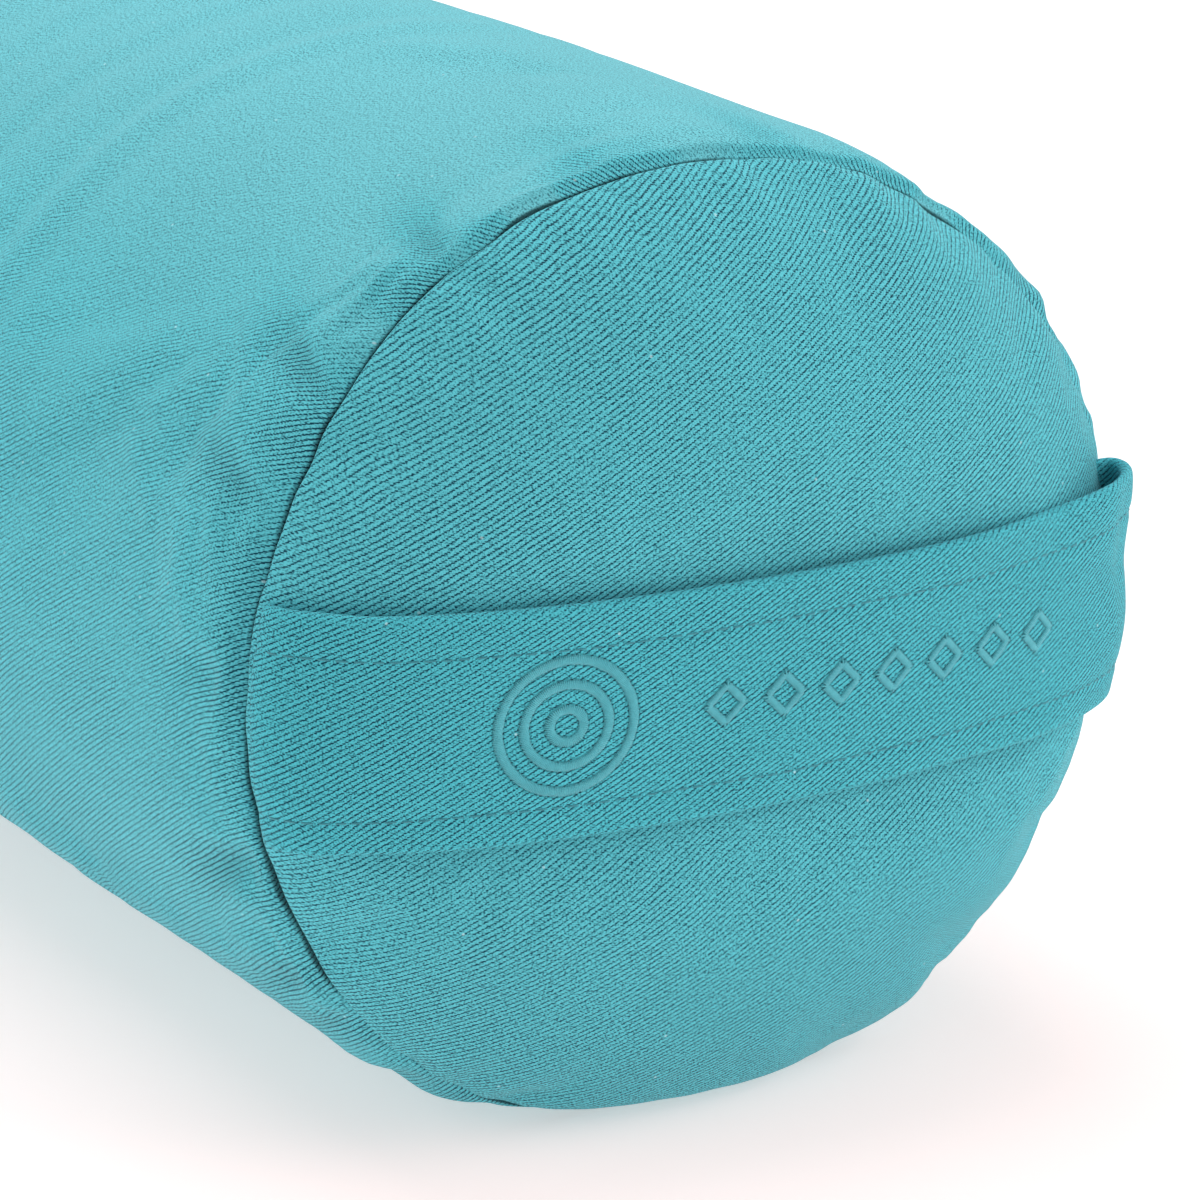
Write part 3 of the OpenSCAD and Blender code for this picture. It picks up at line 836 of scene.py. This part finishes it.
def make_coil(name, side, material):
    """One side of the chain: a wound nylon filament."""
    sides = 6
    x = np.arange(CHAIN_LOW[0] + 0.5, CHAIN_HIGH[0] - 0.5, COIL_PITCH / COIL_STEPS)
    angle = TURN * (x - x[0]) / COIL_PITCH
    centre = on_zip(x, side * (COIL_MIDDLE + 0.72 * np.cos(angle)), TAPE_TOP + 1.05 + 0.64 * np.sin(angle))
    along = unit(np.gradient(centre, axis=0))
    away = unit(np.cross(along, np.array([1.0, 0, 0])))
    other = np.cross(along, away)
    ring = round_angles(sides)
    spread = away[:, None] * np.cos(ring)[None, :, None] + other[:, None] * np.sin(ring)[None, :, None]
    points = centre[:, None] + COIL_FILAMENT * spread
    faces = grid_faces(len(x), sides, True).tolist()
    faces += [list(range(sides)), [len(x) * sides - 1 - i for i in range(sides)]]
    return make_piece(name, points, faces, material)


def lengthwise_row(node, start, stop):
    """Places of a row of stitches along the bolster, from its CAD node's ends drawn in by start and stop,
    and the row's angle."""
    low, high = box_mm(node)
    middle = (low + high) / 2
    phi = math.atan2(-middle[1], AXIS_Z - middle[2])
    return np.arange(low[0] + start, high[0] - stop, STITCH_PITCH), phi


def make_zip_row(name, node, material):
    """The row of stitching that holds one tape, on the cover's face."""
    centres, phi = lengthwise_row(node, 1.3, 1)
    outward = radial(np.array(phi))
    foot = np.stack([centres, 0 * centres, 0 * centres + AXIS_Z], axis=-1) + (BODY_R - 0.12) * outward
    half = np.array([STITCH / 2, 0, 0])
    outward = np.tile(outward, (len(centres), 1))
    return make_threads(name, foot - half, foot + half, outward, material, radius=THREAD_R, lift=0.2)


# ---- inside the cover ----

CASE_INSET = 9.0        # depth of the inner case below the cover
CORE_INSET = CASE_INSET + 1.7
SLIDER_ROOM = 2.6       # depth of the flat behind the zip, less the inset
DOME_RINGS = 14
BODY_RINGS = 40


def inner_rings(inset):
    """Rings of the cushion inside the cover, from the front middle to the rear middle, as x and radius."""
    t = np.linspace(0.05, QUARTER, DOME_RINGS)
    front_x = FRONT_X + (CAP_H - inset) * np.cos(t)
    dome_r = (SEAM_R - inset) * np.sin(t)
    body_x = np.linspace(FRONT_X, REAR_X, BODY_RINGS + 2)[1:-1]
    rear_x = REAR_X - (CAP_H - inset) * np.cos(t[::-1])
    x = np.concatenate([front_x, body_x, rear_x])
    return x, np.concatenate([dome_r, swell(body_x) - inset, dome_r[::-1]])


def inner_points(inset, lumps):
    """Points of the settled cushion, flat behind the zip so that the slider has room."""
    x, radius = inner_rings(inset)
    phi = round_angles(120)
    grid_x, grid_phi = grid(x, phi)
    uneven = lumps * waves(grid_phi, 91, 3, 12) * np.cos(grid_x / 26)
    y, z = section(grid_phi, radius[:, None] + uneven)
    z = np.maximum(z, inset)
    out = grid_x - FRONT_X
    grid_x = FRONT_X + np.where(out > 0, np.minimum(out, press(out + inset, y, z) - inset), out)
    points = np.stack([grid_x, y, z], axis=-1)
    depth = (points - np.array([0, 0, AXIS_Z])) @ ZIP_OUT - (BODY_R - SLIDER_ROOM - inset)
    return points - np.clip(depth, 0, None)[..., None] * ZIP_OUT


def make_inner(calico, cotton):
    """The inner case, in its three panels that share their edge rings, and the filling."""
    case = inner_points(CASE_INSET, 0)
    rear = DOME_RINGS + BODY_RINGS
    parts = (("case_front_cloth", case[:DOME_RINGS], True, False, calico),
             ("case_body_cloth", case[DOME_RINGS - 1:rear + 1], False, False, calico),
             ("case_rear_cloth", case[rear:], False, True, calico),
             ("cotton_core", inner_points(CORE_INSET, 0.5), True, True, cotton))
    return [make_piece(name, rows, tube_faces(*rows.shape[:2], start, end), material)
            for name, rows, start, end, material in parts]


def make_overlock(name, seam_x, material):
    """Overlocked edge of the cloth turned in at a seam."""
    phi = round_angles(300)
    y, z = section(phi, 0 * phi + SEAM_R - GROOVE_R - 1.2)
    middle = np.stack([0 * phi + seam_x, y, z], axis=-1)
    reach = np.array([0.9, 0, 0])
    return make_threads(name, middle - reach, middle + reach, -radial(phi), material, radius=0.16,
                        lift=ALLOWANCE - 0.6, sides=5)


def make_closing(material):
    """The hand-closed seam of the inner case."""
    centres, phi = lengthwise_row("case_closing_stitches", 0, 0)
    angles = 0 * centres + phi % TURN
    y, z = section(angles, swell(centres) - CASE_INSET)
    outward = radial(angles)
    foot = np.stack([centres, y, z], axis=-1)
    lean = np.array([1.1, 0, 0]) + np.cross(outward, [0.5, 0, 0])
    return make_threads("case_seam_threads", foot - lean, foot + lean, outward, material,
                        radius=0.2, lift=0.2)


# ---- materials ----

def linear(red, green, blue):
    """A colour given as 0-255 screen values, as the linear colour that a shader takes."""
    values = [value / 255 for value in (red, green, blue)]
    return tuple(v / 12.92 if v <= 0.04045 else ((v + 0.055) / 1.055) ** 2.4 for v in values) + (1,)


class Value:
    """A number inside a material. Arithmetic on it makes Math nodes."""

    def __init__(self, nodes, socket):
        self.nodes = nodes
        self.socket = socket

    def __add__(self, other):
        return self.nodes.math("ADD", self, other)

    def __sub__(self, other):
        return self.nodes.math("SUBTRACT", self, other)

    def __rsub__(self, other):
        return self.nodes.math("SUBTRACT", other, self)

    def __mul__(self, other):
        return self.nodes.math("MULTIPLY", self, other)

    def __truediv__(self, other):
        return self.nodes.math("DIVIDE", self, other)

    def __abs__(self):
        return self.nodes.math("ABSOLUTE", self)

    def clamped(self):
        """The same number, kept between 0 and 1."""
        self.socket.node.use_clamp = True
        return self


class Nodes:
    """Short calls for building one material's nodes."""

    def __init__(self, name, roughness, specular=0.5, metallic=0.0):
        self.material = bpy.data.materials.new(name)
        self.material.use_nodes = True
        self.tree = self.material.node_tree
        self.shader = self.tree.nodes["Principled BSDF"]
        self.set(self.shader, "Roughness", roughness)
        self.set(self.shader, "Specular IOR Level", specular)
        self.set(self.shader, "Metallic", metallic)

    def set(self, node, socket, value):
        """Sets a socket to a number or colour, or links it to another node's output."""
        if isinstance(value, Value):
            value = value.socket
        if isinstance(value, bpy.types.NodeSocket):
            self.tree.links.new(value, node.inputs[socket])
        else:
            node.inputs[socket].default_value = value

    def new(self, kind, *values, **named):
        """A new node, with its first inputs and the named ones set."""
        node = self.tree.nodes.new("ShaderNode" + kind)
        for socket, value in (*enumerate(values), *named.items()):
            self.set(node, socket, value)
        return node

    def math(self, operation, *values):
        node = self.new("Math", *values)
        node.operation = operation
        return Value(self, node.outputs[0])

    def times(self, vector, factors):
        """A vector with each of its parts multiplied by its own factor."""
        node = self.new("VectorMath", vector, factors)
        node.operation = "MULTIPLY"
        return node.outputs[0]

    def place(self):
        """The object's coordinates, in metres."""
        return self.new("TexCoord").outputs["Object"]

    def weave_place(self):
        """The cloth's own coordinates, in millimetres."""
        node = self.new("UVMap")
        node.uv_map = "weave"
        return node.outputs[0]

    def attribute(self, name):
        node = self.new("Attribute")
        node.attribute_name = name
        return Value(self, node.outputs["Fac"])

    def split(self, vector):
        return [Value(self, socket) for socket in self.new("SeparateXYZ", vector).outputs]

    def in_units(self, size_mm):
        """The object's coordinates, split, in units of the given size."""
        return self.split(self.times(self.place(), (1000 / size_mm,) * 3))

    def noise(self, vector, scale, detail=2.0, rough=0.5):
        """Smooth noise from 0 to 1, with features about 1/scale apart."""
        node = self.new("TexNoise", Vector=vector, Scale=scale, Detail=detail, Roughness=rough)
        return Value(self, node.outputs["Fac"])

    def stray(self, vector, scale, detail, size):
        """Smooth noise about zero, of the given size."""
        return (self.noise(vector, scale, detail) - 0.5) * size

    def streaks(self, x, y, z):
        """Noise stretched by another scale along each of the object's axes."""
        return self.noise(self.times(self.place(), (x, y, z)), 1.0, 3.0)

    def random(self, x, y):
        """A number from 0 to 1 that differs from each pair of whole numbers to the next."""
        node = self.new("TexWhiteNoise", Vector=self.new("CombineXYZ", x, y, 0.0).outputs[0])
        node.noise_dimensions = "2D"
        return Value(self, node.outputs["Value"])

    def smooth(self, value, low, high, to_low=0.0, to_high=1.0):
        node = self.new("MapRange", value, low, high, to_low, to_high)
        node.interpolation_type = "SMOOTHSTEP"
        return Value(self, node.outputs[0])

    def ripple(self, value, length):
        """A wave of the given length along value, from 0 to 1."""
        return self.math("SINE", value * (2 * math.pi / length)) * 0.5 + 0.5

    def mix(self, share, first, second):
        """Colour between first and second."""
        node = self.new("Mix")
        node.data_type = "RGBA"
        for socket, value in ((0, share), (6, first), (7, second)):
            self.set(node, socket, value)
        return node.outputs[2]

    def bright(self, colour, factor):
        """Colour times a factor."""
        node = self.new("VectorMath", colour)
        node.operation = "SCALE"
        self.set(node, "Scale", factor)
        return node.outputs[0]

    def finish(self, colour, height, depth, strength=1.0):
        """Links the colour, and the height as a bump of that many metres."""
        self.set(self.shader, "Base Color", colour)
        bump = self.new("Bump", Height=height, Distance=depth, Strength=strength)
        self.set(self.shader, "Normal", bump.outputs[0])
        return self.material


YARN_ACROSS = 0.31      # distance between the yarns that float
YARN_ALONG = 0.55       # distance between the yarns they float over
REPEAT = 4              # rows of weave before it repeats
LINT_COLOUR = linear(196, 232, 238)
LINT_DENSITY = 0.026    # specks per millimetre each way
SHADE_LINE_OUT = 0.1          # how far out of a satin column the painted shade line beside it lies
# darkness of the painted shade lines beside the satin columns
SHADE_LINE_DARKNESS = 0.42
HERRINGBONE = 3.2       # width of the zip tape's herringbone
GLUE_DOTS = 4.2         # how closely the interfacing's glue dots are set
FLOOR_GLOW = 0.44
WARM_REACH = 0.2        # metres from the bolster over which the floor's paint is warmer


def folded(n, value):
    """1 at whole numbers and 0 halfway between them."""
    return abs(n.math("FRACT", value) * 2.0 - 1.0)


def lint(n, place):
    """A few specks of white lint, far apart."""
    node = n.new("TexVoronoi", Vector=place, Scale=LINT_DENSITY)
    node.voronoi_dimensions = "2D"
    return n.smooth(node.outputs["Distance"], 0.005, 0.010, 1.0, 0.0) * 0.6


def embroidery_shade_lines(n, place):
    """Painted shade: dark lines where the embroidery pulls the strap down on both sides of each satin
    column.
    """
    u, v, _ = n.split(place)
    ring_s, first_s, pitch = embroidery_places()
    away = u - ring_s
    far = n.math("SQRT", away * away + v * v)
    step = (u - first_s) / pitch
    across = (n.math("FRACT", step + 0.5) - 0.5) * pitch
    square = (abs(across) + abs(v)) / math.sqrt(2)
    edge = abs(abs(square - DIAMOND_SIDE / 2) - (DIAMOND_WIDTH / 2 + SHADE_LINE_OUT))
    inside = n.math("LESS_THAN", abs(step - (DIAMONDS - 1) / 2), DIAMONDS / 2)
    total = n.smooth(edge, 0.0, 0.38, 1.0, 0.0) * inside
    for radius in RING_RADII:
        edge = abs(abs(far - radius) - (RING_WIDTH / 2 + SHADE_LINE_OUT))
        total = total + n.smooth(edge, 0.0, 0.42, 1.0, 0.0)
    on_face = n.math("LESS_THAN", abs(v), RING_RADII[-1] + 1.5)
    return (total * on_face * SHADE_LINE_DARKNESS).clamped()


def twill(name, light, dark, pale, shade_lines=None):
    """Three-over-one twill: each yarn floats over three and dips under one, a step later in each row, so
    that the dips line up in slanting furrows, whose dark colour is painted shade. A number on the points
    sets how open the furrows are and how deep their painted shade; where it is low, as on top of the tube,
    the face turns paler as painted light.
    The points' shade, painted shade, darkens the cloth inside the seams and dents."""
    n = Nodes(name, roughness=0.9, specular=0.15)
    n.set(n.shader, "Sheen Weight", 0.1)
    n.set(n.shader, "Sheen Roughness", 0.5)
    place = n.weave_place()
    u, v, _ = n.split(place)
    # The yarns wander a little, so that no row is quite straight
    across = (v + (n.stray(place, 0.05, 2.0, 0.3) + n.stray(place, 0.8, 2.0, 0.2))) / YARN_ACROSS
    along = (u + n.stray(place, 1.3, 1.0, 0.3)) / YARN_ALONG
    row = n.math("FLOOR", across)
    turn = (along - row) / REPEAT
    slant = (along + 0.5 - across) / REPEAT
    yarn = n.smooth(folded(n, across), 0.1, 0.95, 1.0, 0.0)
    dip = n.smooth(folded(n, turn), 0.64, 0.94) * (yarn * 0.85 + 0.15)
    furrow = n.smooth(folded(n, slant), 0.5, 1.0)
    hollow = (dip * 1.35 + furrow * 0.22).clamped()
    # How open the furrows look, and so how deep their painted shade: the number on the points, in broad
    # patches and worn here and there
    stretch_and_painted_light = n.attribute("stretch_and_painted_light")
    patchy = n.smooth(n.noise(place, 0.04), 0.3, 0.7, 0.75, 1.1)
    worn = n.smooth(n.noise(place, 0.9), 0.3, 0.7, 0.7, 1.15)
    hollow = hollow * (stretch_and_painted_light * patchy * worn)
    # Each float has its own tone, and its fibres show as fuzz
    grain = (n.random(row, n.math("FLOOR", turn)) - 0.5) * 0.14
    fuzz = n.stray(place, 1.25, 1.0, 1.0) + n.stray(place, 2.5, 1.0, 2.5)
    # A low number turns the face pale: painted light
    face = n.mix(n.smooth(stretch_and_painted_light, 0.1, 1.0, 0.75, 0.0), light, pale)
    # The dark colour in the furrows is painted shade
    colour = n.mix((hollow + (grain + fuzz + 0.1)).clamped(), face, dark)
    colour = n.bright(colour, n.stray(place, 0.02, 3.0, 0.14) + 1.0)
    colour = n.bright(colour, 1.0 - n.attribute("shade") * 0.86)
    # Painted shade beside the embroidery's satin columns
    if shade_lines:
        colour = n.bright(colour, 1.0 - shade_lines(n, place))
    colour = n.mix(lint(n, place), colour, LINT_COLOUR)
    return n.finish(colour, n.noise(place, 3.0) * 0.4 - hollow, 0.00022, strength=0.7)


def plain_weave(name, light, dark, pitch_mm):
    """Over-and-under weave on the object's own coordinates."""
    n = Nodes(name, roughness=0.9, specular=0.2)
    x, y, z = n.in_units(pitch_mm)
    weave = n.math("SINE", x * math.pi) * n.math("SINE", (y + z) * math.pi) * 0.5 + 0.5
    slub = n.noise(n.place(), 90.0, 3.0)
    return n.finish(n.mix(weave * 0.5 + slub * 0.5, light, dark), weave, 0.00012)


def thread(name, light, dark, pitch_mm, specular=0.35):
    """Twisted thread: fine slanting strands."""
    n = Nodes(name, roughness=0.55, specular=specular)
    n.set(n.shader, "Sheen Weight", 0.25)
    x, y, z = n.in_units(pitch_mm)
    strand = n.ripple(x + y + z * 1.6, 1)
    share = (strand * 0.55 + n.noise(n.place(), 700.0) * 0.5).clamped()
    return n.finish(n.mix(share, light, dark), strand, 0.00006)


def tape_weave(name, light, dark):
    """Herringbone of a zip's tape."""
    n = Nodes(name, roughness=0.8, specular=0.25)
    x, _, z = n.in_units(1)
    bent = abs(n.math("FRACT", z / HERRINGBONE) - 0.5)
    rib = n.ripple(x + bent * HERRINGBONE, 0.7)
    share = rib * 0.6 + n.noise(n.place(), 900.0) * 0.4
    return n.finish(n.mix(share, light, dark), rib, 0.00012)


def nylon(name, light, dark):
    """Moulded nylon filament."""
    n = Nodes(name, roughness=0.38)
    return n.finish(n.mix(n.noise(n.place(), 260.0, 3.0), light, dark), n.noise(n.place(), 2500.0), 0.00002)


def metal(name, light, dark, roughness):
    """Plated or pressed metal with fine scratches and dull patches."""
    n = Nodes(name, roughness=roughness, metallic=1.0)
    patch = n.noise(n.place(), 220.0, 3.0)
    n.set(n.shader, "Roughness", n.smooth(patch, 0.3, 0.7, roughness * 0.7, roughness * 1.4))
    return n.finish(n.mix(patch, light, dark), n.streaks(300.0, 4000.0, 4000.0), 0.00001)


def wadding(name, light, dark):
    """Packed cotton fibre."""
    n = Nodes(name, roughness=0.95, specular=0.1)
    share = n.noise(n.place(), 60.0, 5.0, 0.65) * 0.7 + n.streaks(900.0, 300.0, 300.0) * 0.3
    return n.finish(n.mix(share, light, dark), share, 0.0015)


def bonded(name, light, dark):
    """Bonded fibre of interfacing, with its grid of glue dots."""
    n = Nodes(name, roughness=0.85, specular=0.2)
    x, y, z = n.in_units(1)
    dots = n.math("SINE", (x + y) * GLUE_DOTS) * n.math("SINE", z * GLUE_DOTS)
    fibre = n.streaks(1200.0, 250.0, 1200.0)
    share = n.smooth(dots, 0.5, 0.9) * 0.4 + fibre * 0.6
    return n.finish(n.mix(share, light, dark), fibre, 0.0001)


def floor_paint(name, light, near):
    """White light table: it glows a little, which keeps shadows short. Its paint is warmer close to the
    bolster, where blue-green light falls back on it."""
    n = Nodes(name, roughness=0.9, specular=0.1)
    n.set(n.shader, "Emission Color", (1, 1, 1, 1))
    n.set(n.shader, "Emission Strength", FLOOR_GLOW)
    x, y, _ = n.split(n.place())
    beyond = n.math("MAXIMUM", abs(x) - FRONT_X * MM, 0.0)
    beside = n.math("MAXIMUM", abs(y) - SEAM_R / 2 * MM, 0.0)
    away = n.math("SQRT", beyond * beyond + beside * beside)
    colour = n.mix(n.smooth(away, 0.0, WARM_REACH, 1.0, 0.0), light, near)
    colour = n.bright(colour, n.smooth(n.noise(n.place(), 3.0, 3.0), 0.3, 0.7, 0.98, 1.0))
    return n.finish(colour, n.noise(n.place(), 400.0), 0.00002)


# ---- the object ----

# Each twill's dark colour is painted shade in its furrows; the cover's pale colour is painted light on the
# tube's top
COVER = twill("cover_twill", linear(98, 205, 217), linear(0, 68, 88), linear(118, 202, 212))
STRAP = twill("strap_twill", linear(84, 198, 211), linear(0, 62, 82), linear(86, 184, 196), embroidery_shade_lines)
SEWING = thread("sewing_thread", linear(70, 172, 186), linear(30, 112, 126), 0.5)
SATIN = thread("embroidery_thread", linear(112, 220, 232), linear(58, 166, 180), 0.45, specular=0.45)
TAPE = tape_weave("zip_tape", linear(88, 170, 180), linear(40, 118, 130))
COIL = nylon("zip_coil", linear(76, 158, 168), linear(48, 128, 140))
STOPS = metal("zip_stops", (0.78, 0.79, 0.80, 1), (0.60, 0.61, 0.62, 1), 0.42)
NICKEL = metal("zip_metal", (0.76, 0.75, 0.72, 1), (0.62, 0.61, 0.59, 1), 0.24)
CALICO = plain_weave("case_calico", linear(235, 228, 208), linear(212, 202, 176), 0.5)
CASE_THREAD = thread("case_thread", linear(240, 238, 230), linear(214, 211, 200), 0.5)
COTTON = wadding("cotton_fill", linear(243, 239, 228), linear(220, 212, 194))
INTERFACING = bonded("interfacing", linear(236, 234, 226), linear(214, 211, 202))


def add(piece, body, slot, *nodes):
    """Gives a piece its body and hides the CAD nodes it stands for; its finish's slot is not used."""
    if body:
        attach(piece, body)
    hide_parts(*nodes)
    return piece


def on_handle(piece, slot, *nodes):
    """A piece of the strap, whose sewn ends lie in the seams: bakes its transform and hides the CAD nodes
    it stands for.
    """
    add(piece, None, slot, *nodes)
    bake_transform(piece)


def build_cover():
    body = make_body(COVER)
    add(body, "root", "cover_twill", "cover_body_panel")
    front = make_cap("front_cloth", COVER, 1, FRONT_X, FRONT_SEED, CAP_DENTS)
    add(front, "root", "cover_twill", "cover_front_cap")
    rear = make_cap("rear_cloth", COVER, -1, REAR_X, REAR_SEED, CAP_DENTS[::-1])
    add(rear, "root", "cover_twill", "cover_rear_cap")
    for node, seam_x in (("front_seam_overlock", FRONT_X), ("rear_seam_overlock", REAR_X)):
        threads = make_overlock(node.replace("overlock", "threads"), seam_x, SEWING)
        add(threads, "root", "sewing_thread", node)


def build_handle():
    sleeve = make_strap(STRAP)
    on_handle(sleeve, "strap_twill", "handle_strap", "handle_left_end", "handle_right_end")
    stiffener = make_stiffener(INTERFACING)
    on_handle(stiffener, "interfacing", "handle_interfacing")
    for side, row in (("upper", UPPER_ROW), ("lower", LOWER_ROW)):
        stitches = make_topstitch(f"{side}_topstitch", row, SEWING)
        on_handle(stitches, "sewing_thread", f"handle_{side}_topstitch")
    rings, diamonds = make_embroidery(SATIN)
    on_handle(rings, "embroidery_thread", "ripple_embroidery")
    on_handle(diamonds, "embroidery_thread", "diamond_embroidery")


def build_zip():
    for side, name in ((-1, "upper"), (1, "lower")):
        add(make_coil(f"{name}_coil_turns", side, COIL), "root", "zip_coil", f"zip_{name}_coil")
        row = make_zip_row(f"{name}_zip_threads", f"zip_{name}_stitching", SEWING)
        add(row, "root", "sewing_thread", f"zip_{name}_stitching")
    for node, finish in (("zip_upper_tape", TAPE), ("zip_lower_tape", TAPE), ("zip_top_stops", STOPS),
                         ("zip_bottom_stop", STOPS), ("zip_slider", NICKEL), ("zip_pull_tab", NICKEL)):
        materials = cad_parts[node].data.materials
        materials.clear()
        materials.append(finish)


def build_cushion():
    *panels, core = make_inner(CALICO, COTTON)
    for piece, node in zip(panels, ("case_front_end", "case_body_panel", "case_rear_end")):
        add(piece, "root", "case_calico", node)
    add(make_closing(CASE_THREAD), "root", "case_thread", "case_closing_stitches")
    add(core, "root", "cotton_fill", "fill_core")


# ---- the set ----

CAMERA_AZIMUTH = 58.08
CAMERA_ELEVATION = 17.95
CAMERA_DISTANCE = 0.93  # metres, as all places of the set
CAMERA_LENS = 134.2     # millimetres
CAMERA_SENSOR = 36
AIM_RIGHT = -0.02005    # the middle of the view from the front seam's middle
AIM_UP = 0.0123
FLOOR_HALF = 6.0
FLOOR_WHITE = (0.75, 0.71, 0.705, 1)
FLOOR_WARM = (0.94, 0.66, 0.63, 1)
WORLD_LIGHT = 0.515
LIGHTS_AIM = (0.1, 0, 0.1)
# Name, size, watts and place of each light
LIGHTS = (("overhead", 1.8, 20.5, (-0.5, 0.0, 1.7)), ("left", 1.2, 6, (-0.6, -1.6, 0.75)),
          ("right", 1.2, 13, (1.3, 1.3, 1.0)))


def build_camera():
    turn, tilt = math.radians(CAMERA_AZIMUTH), math.radians(CAMERA_ELEVATION)
    back = Vector((math.sin(turn) * math.cos(tilt), -math.cos(turn) * math.cos(tilt), math.sin(tilt)))
    right = Vector((math.cos(turn), math.sin(turn), 0))
    seam = Vector((FRONT_X * MM, 0, AXIS_Z * MM))
    data = bpy.data.cameras.new("camera")
    data.lens = CAMERA_LENS
    data.sensor_width = CAMERA_SENSOR
    data.clip_end = 50
    target = seam + right * AIM_RIGHT + back.cross(right) * AIM_UP
    bpy.context.scene.camera = place_in_scene("camera", data, seam + back * CAMERA_DISTANCE, target)


def build_floor():
    mesh = bpy.data.meshes.new("floor")
    corners = [(x * FLOOR_HALF, y * FLOOR_HALF, 0) for x, y in ((-1, -1), (1, -1), (1, 1), (-1, 1))]
    mesh.from_pydata(corners, [], [(0, 1, 2, 3)])
    mesh.materials.append(floor_paint("floor_paint", FLOOR_WHITE, FLOOR_WARM))
    floor = place_in_scene("floor", mesh)


def build_lights():
    world = bpy.data.worlds.new("studio")
    world.use_nodes = True
    world.node_tree.nodes["Background"].inputs["Color"].default_value = (1, 1, 1, 1)
    world.node_tree.nodes["Background"].inputs["Strength"].default_value = WORLD_LIGHT
    bpy.context.scene.world = world
    for name, size, power, place in LIGHTS:
        data = bpy.data.lights.new(name, "AREA")
        data.shape = "SQUARE"
        data.size = size
        data.energy = power
        place_in_scene(name, data, place, LIGHTS_AIM)
    bpy.context.scene.view_settings.view_transform = "Standard"


build_camera()
build_floor()
build_lights()
settle()
build_cover()
build_handle()
build_zip()
build_cushion()
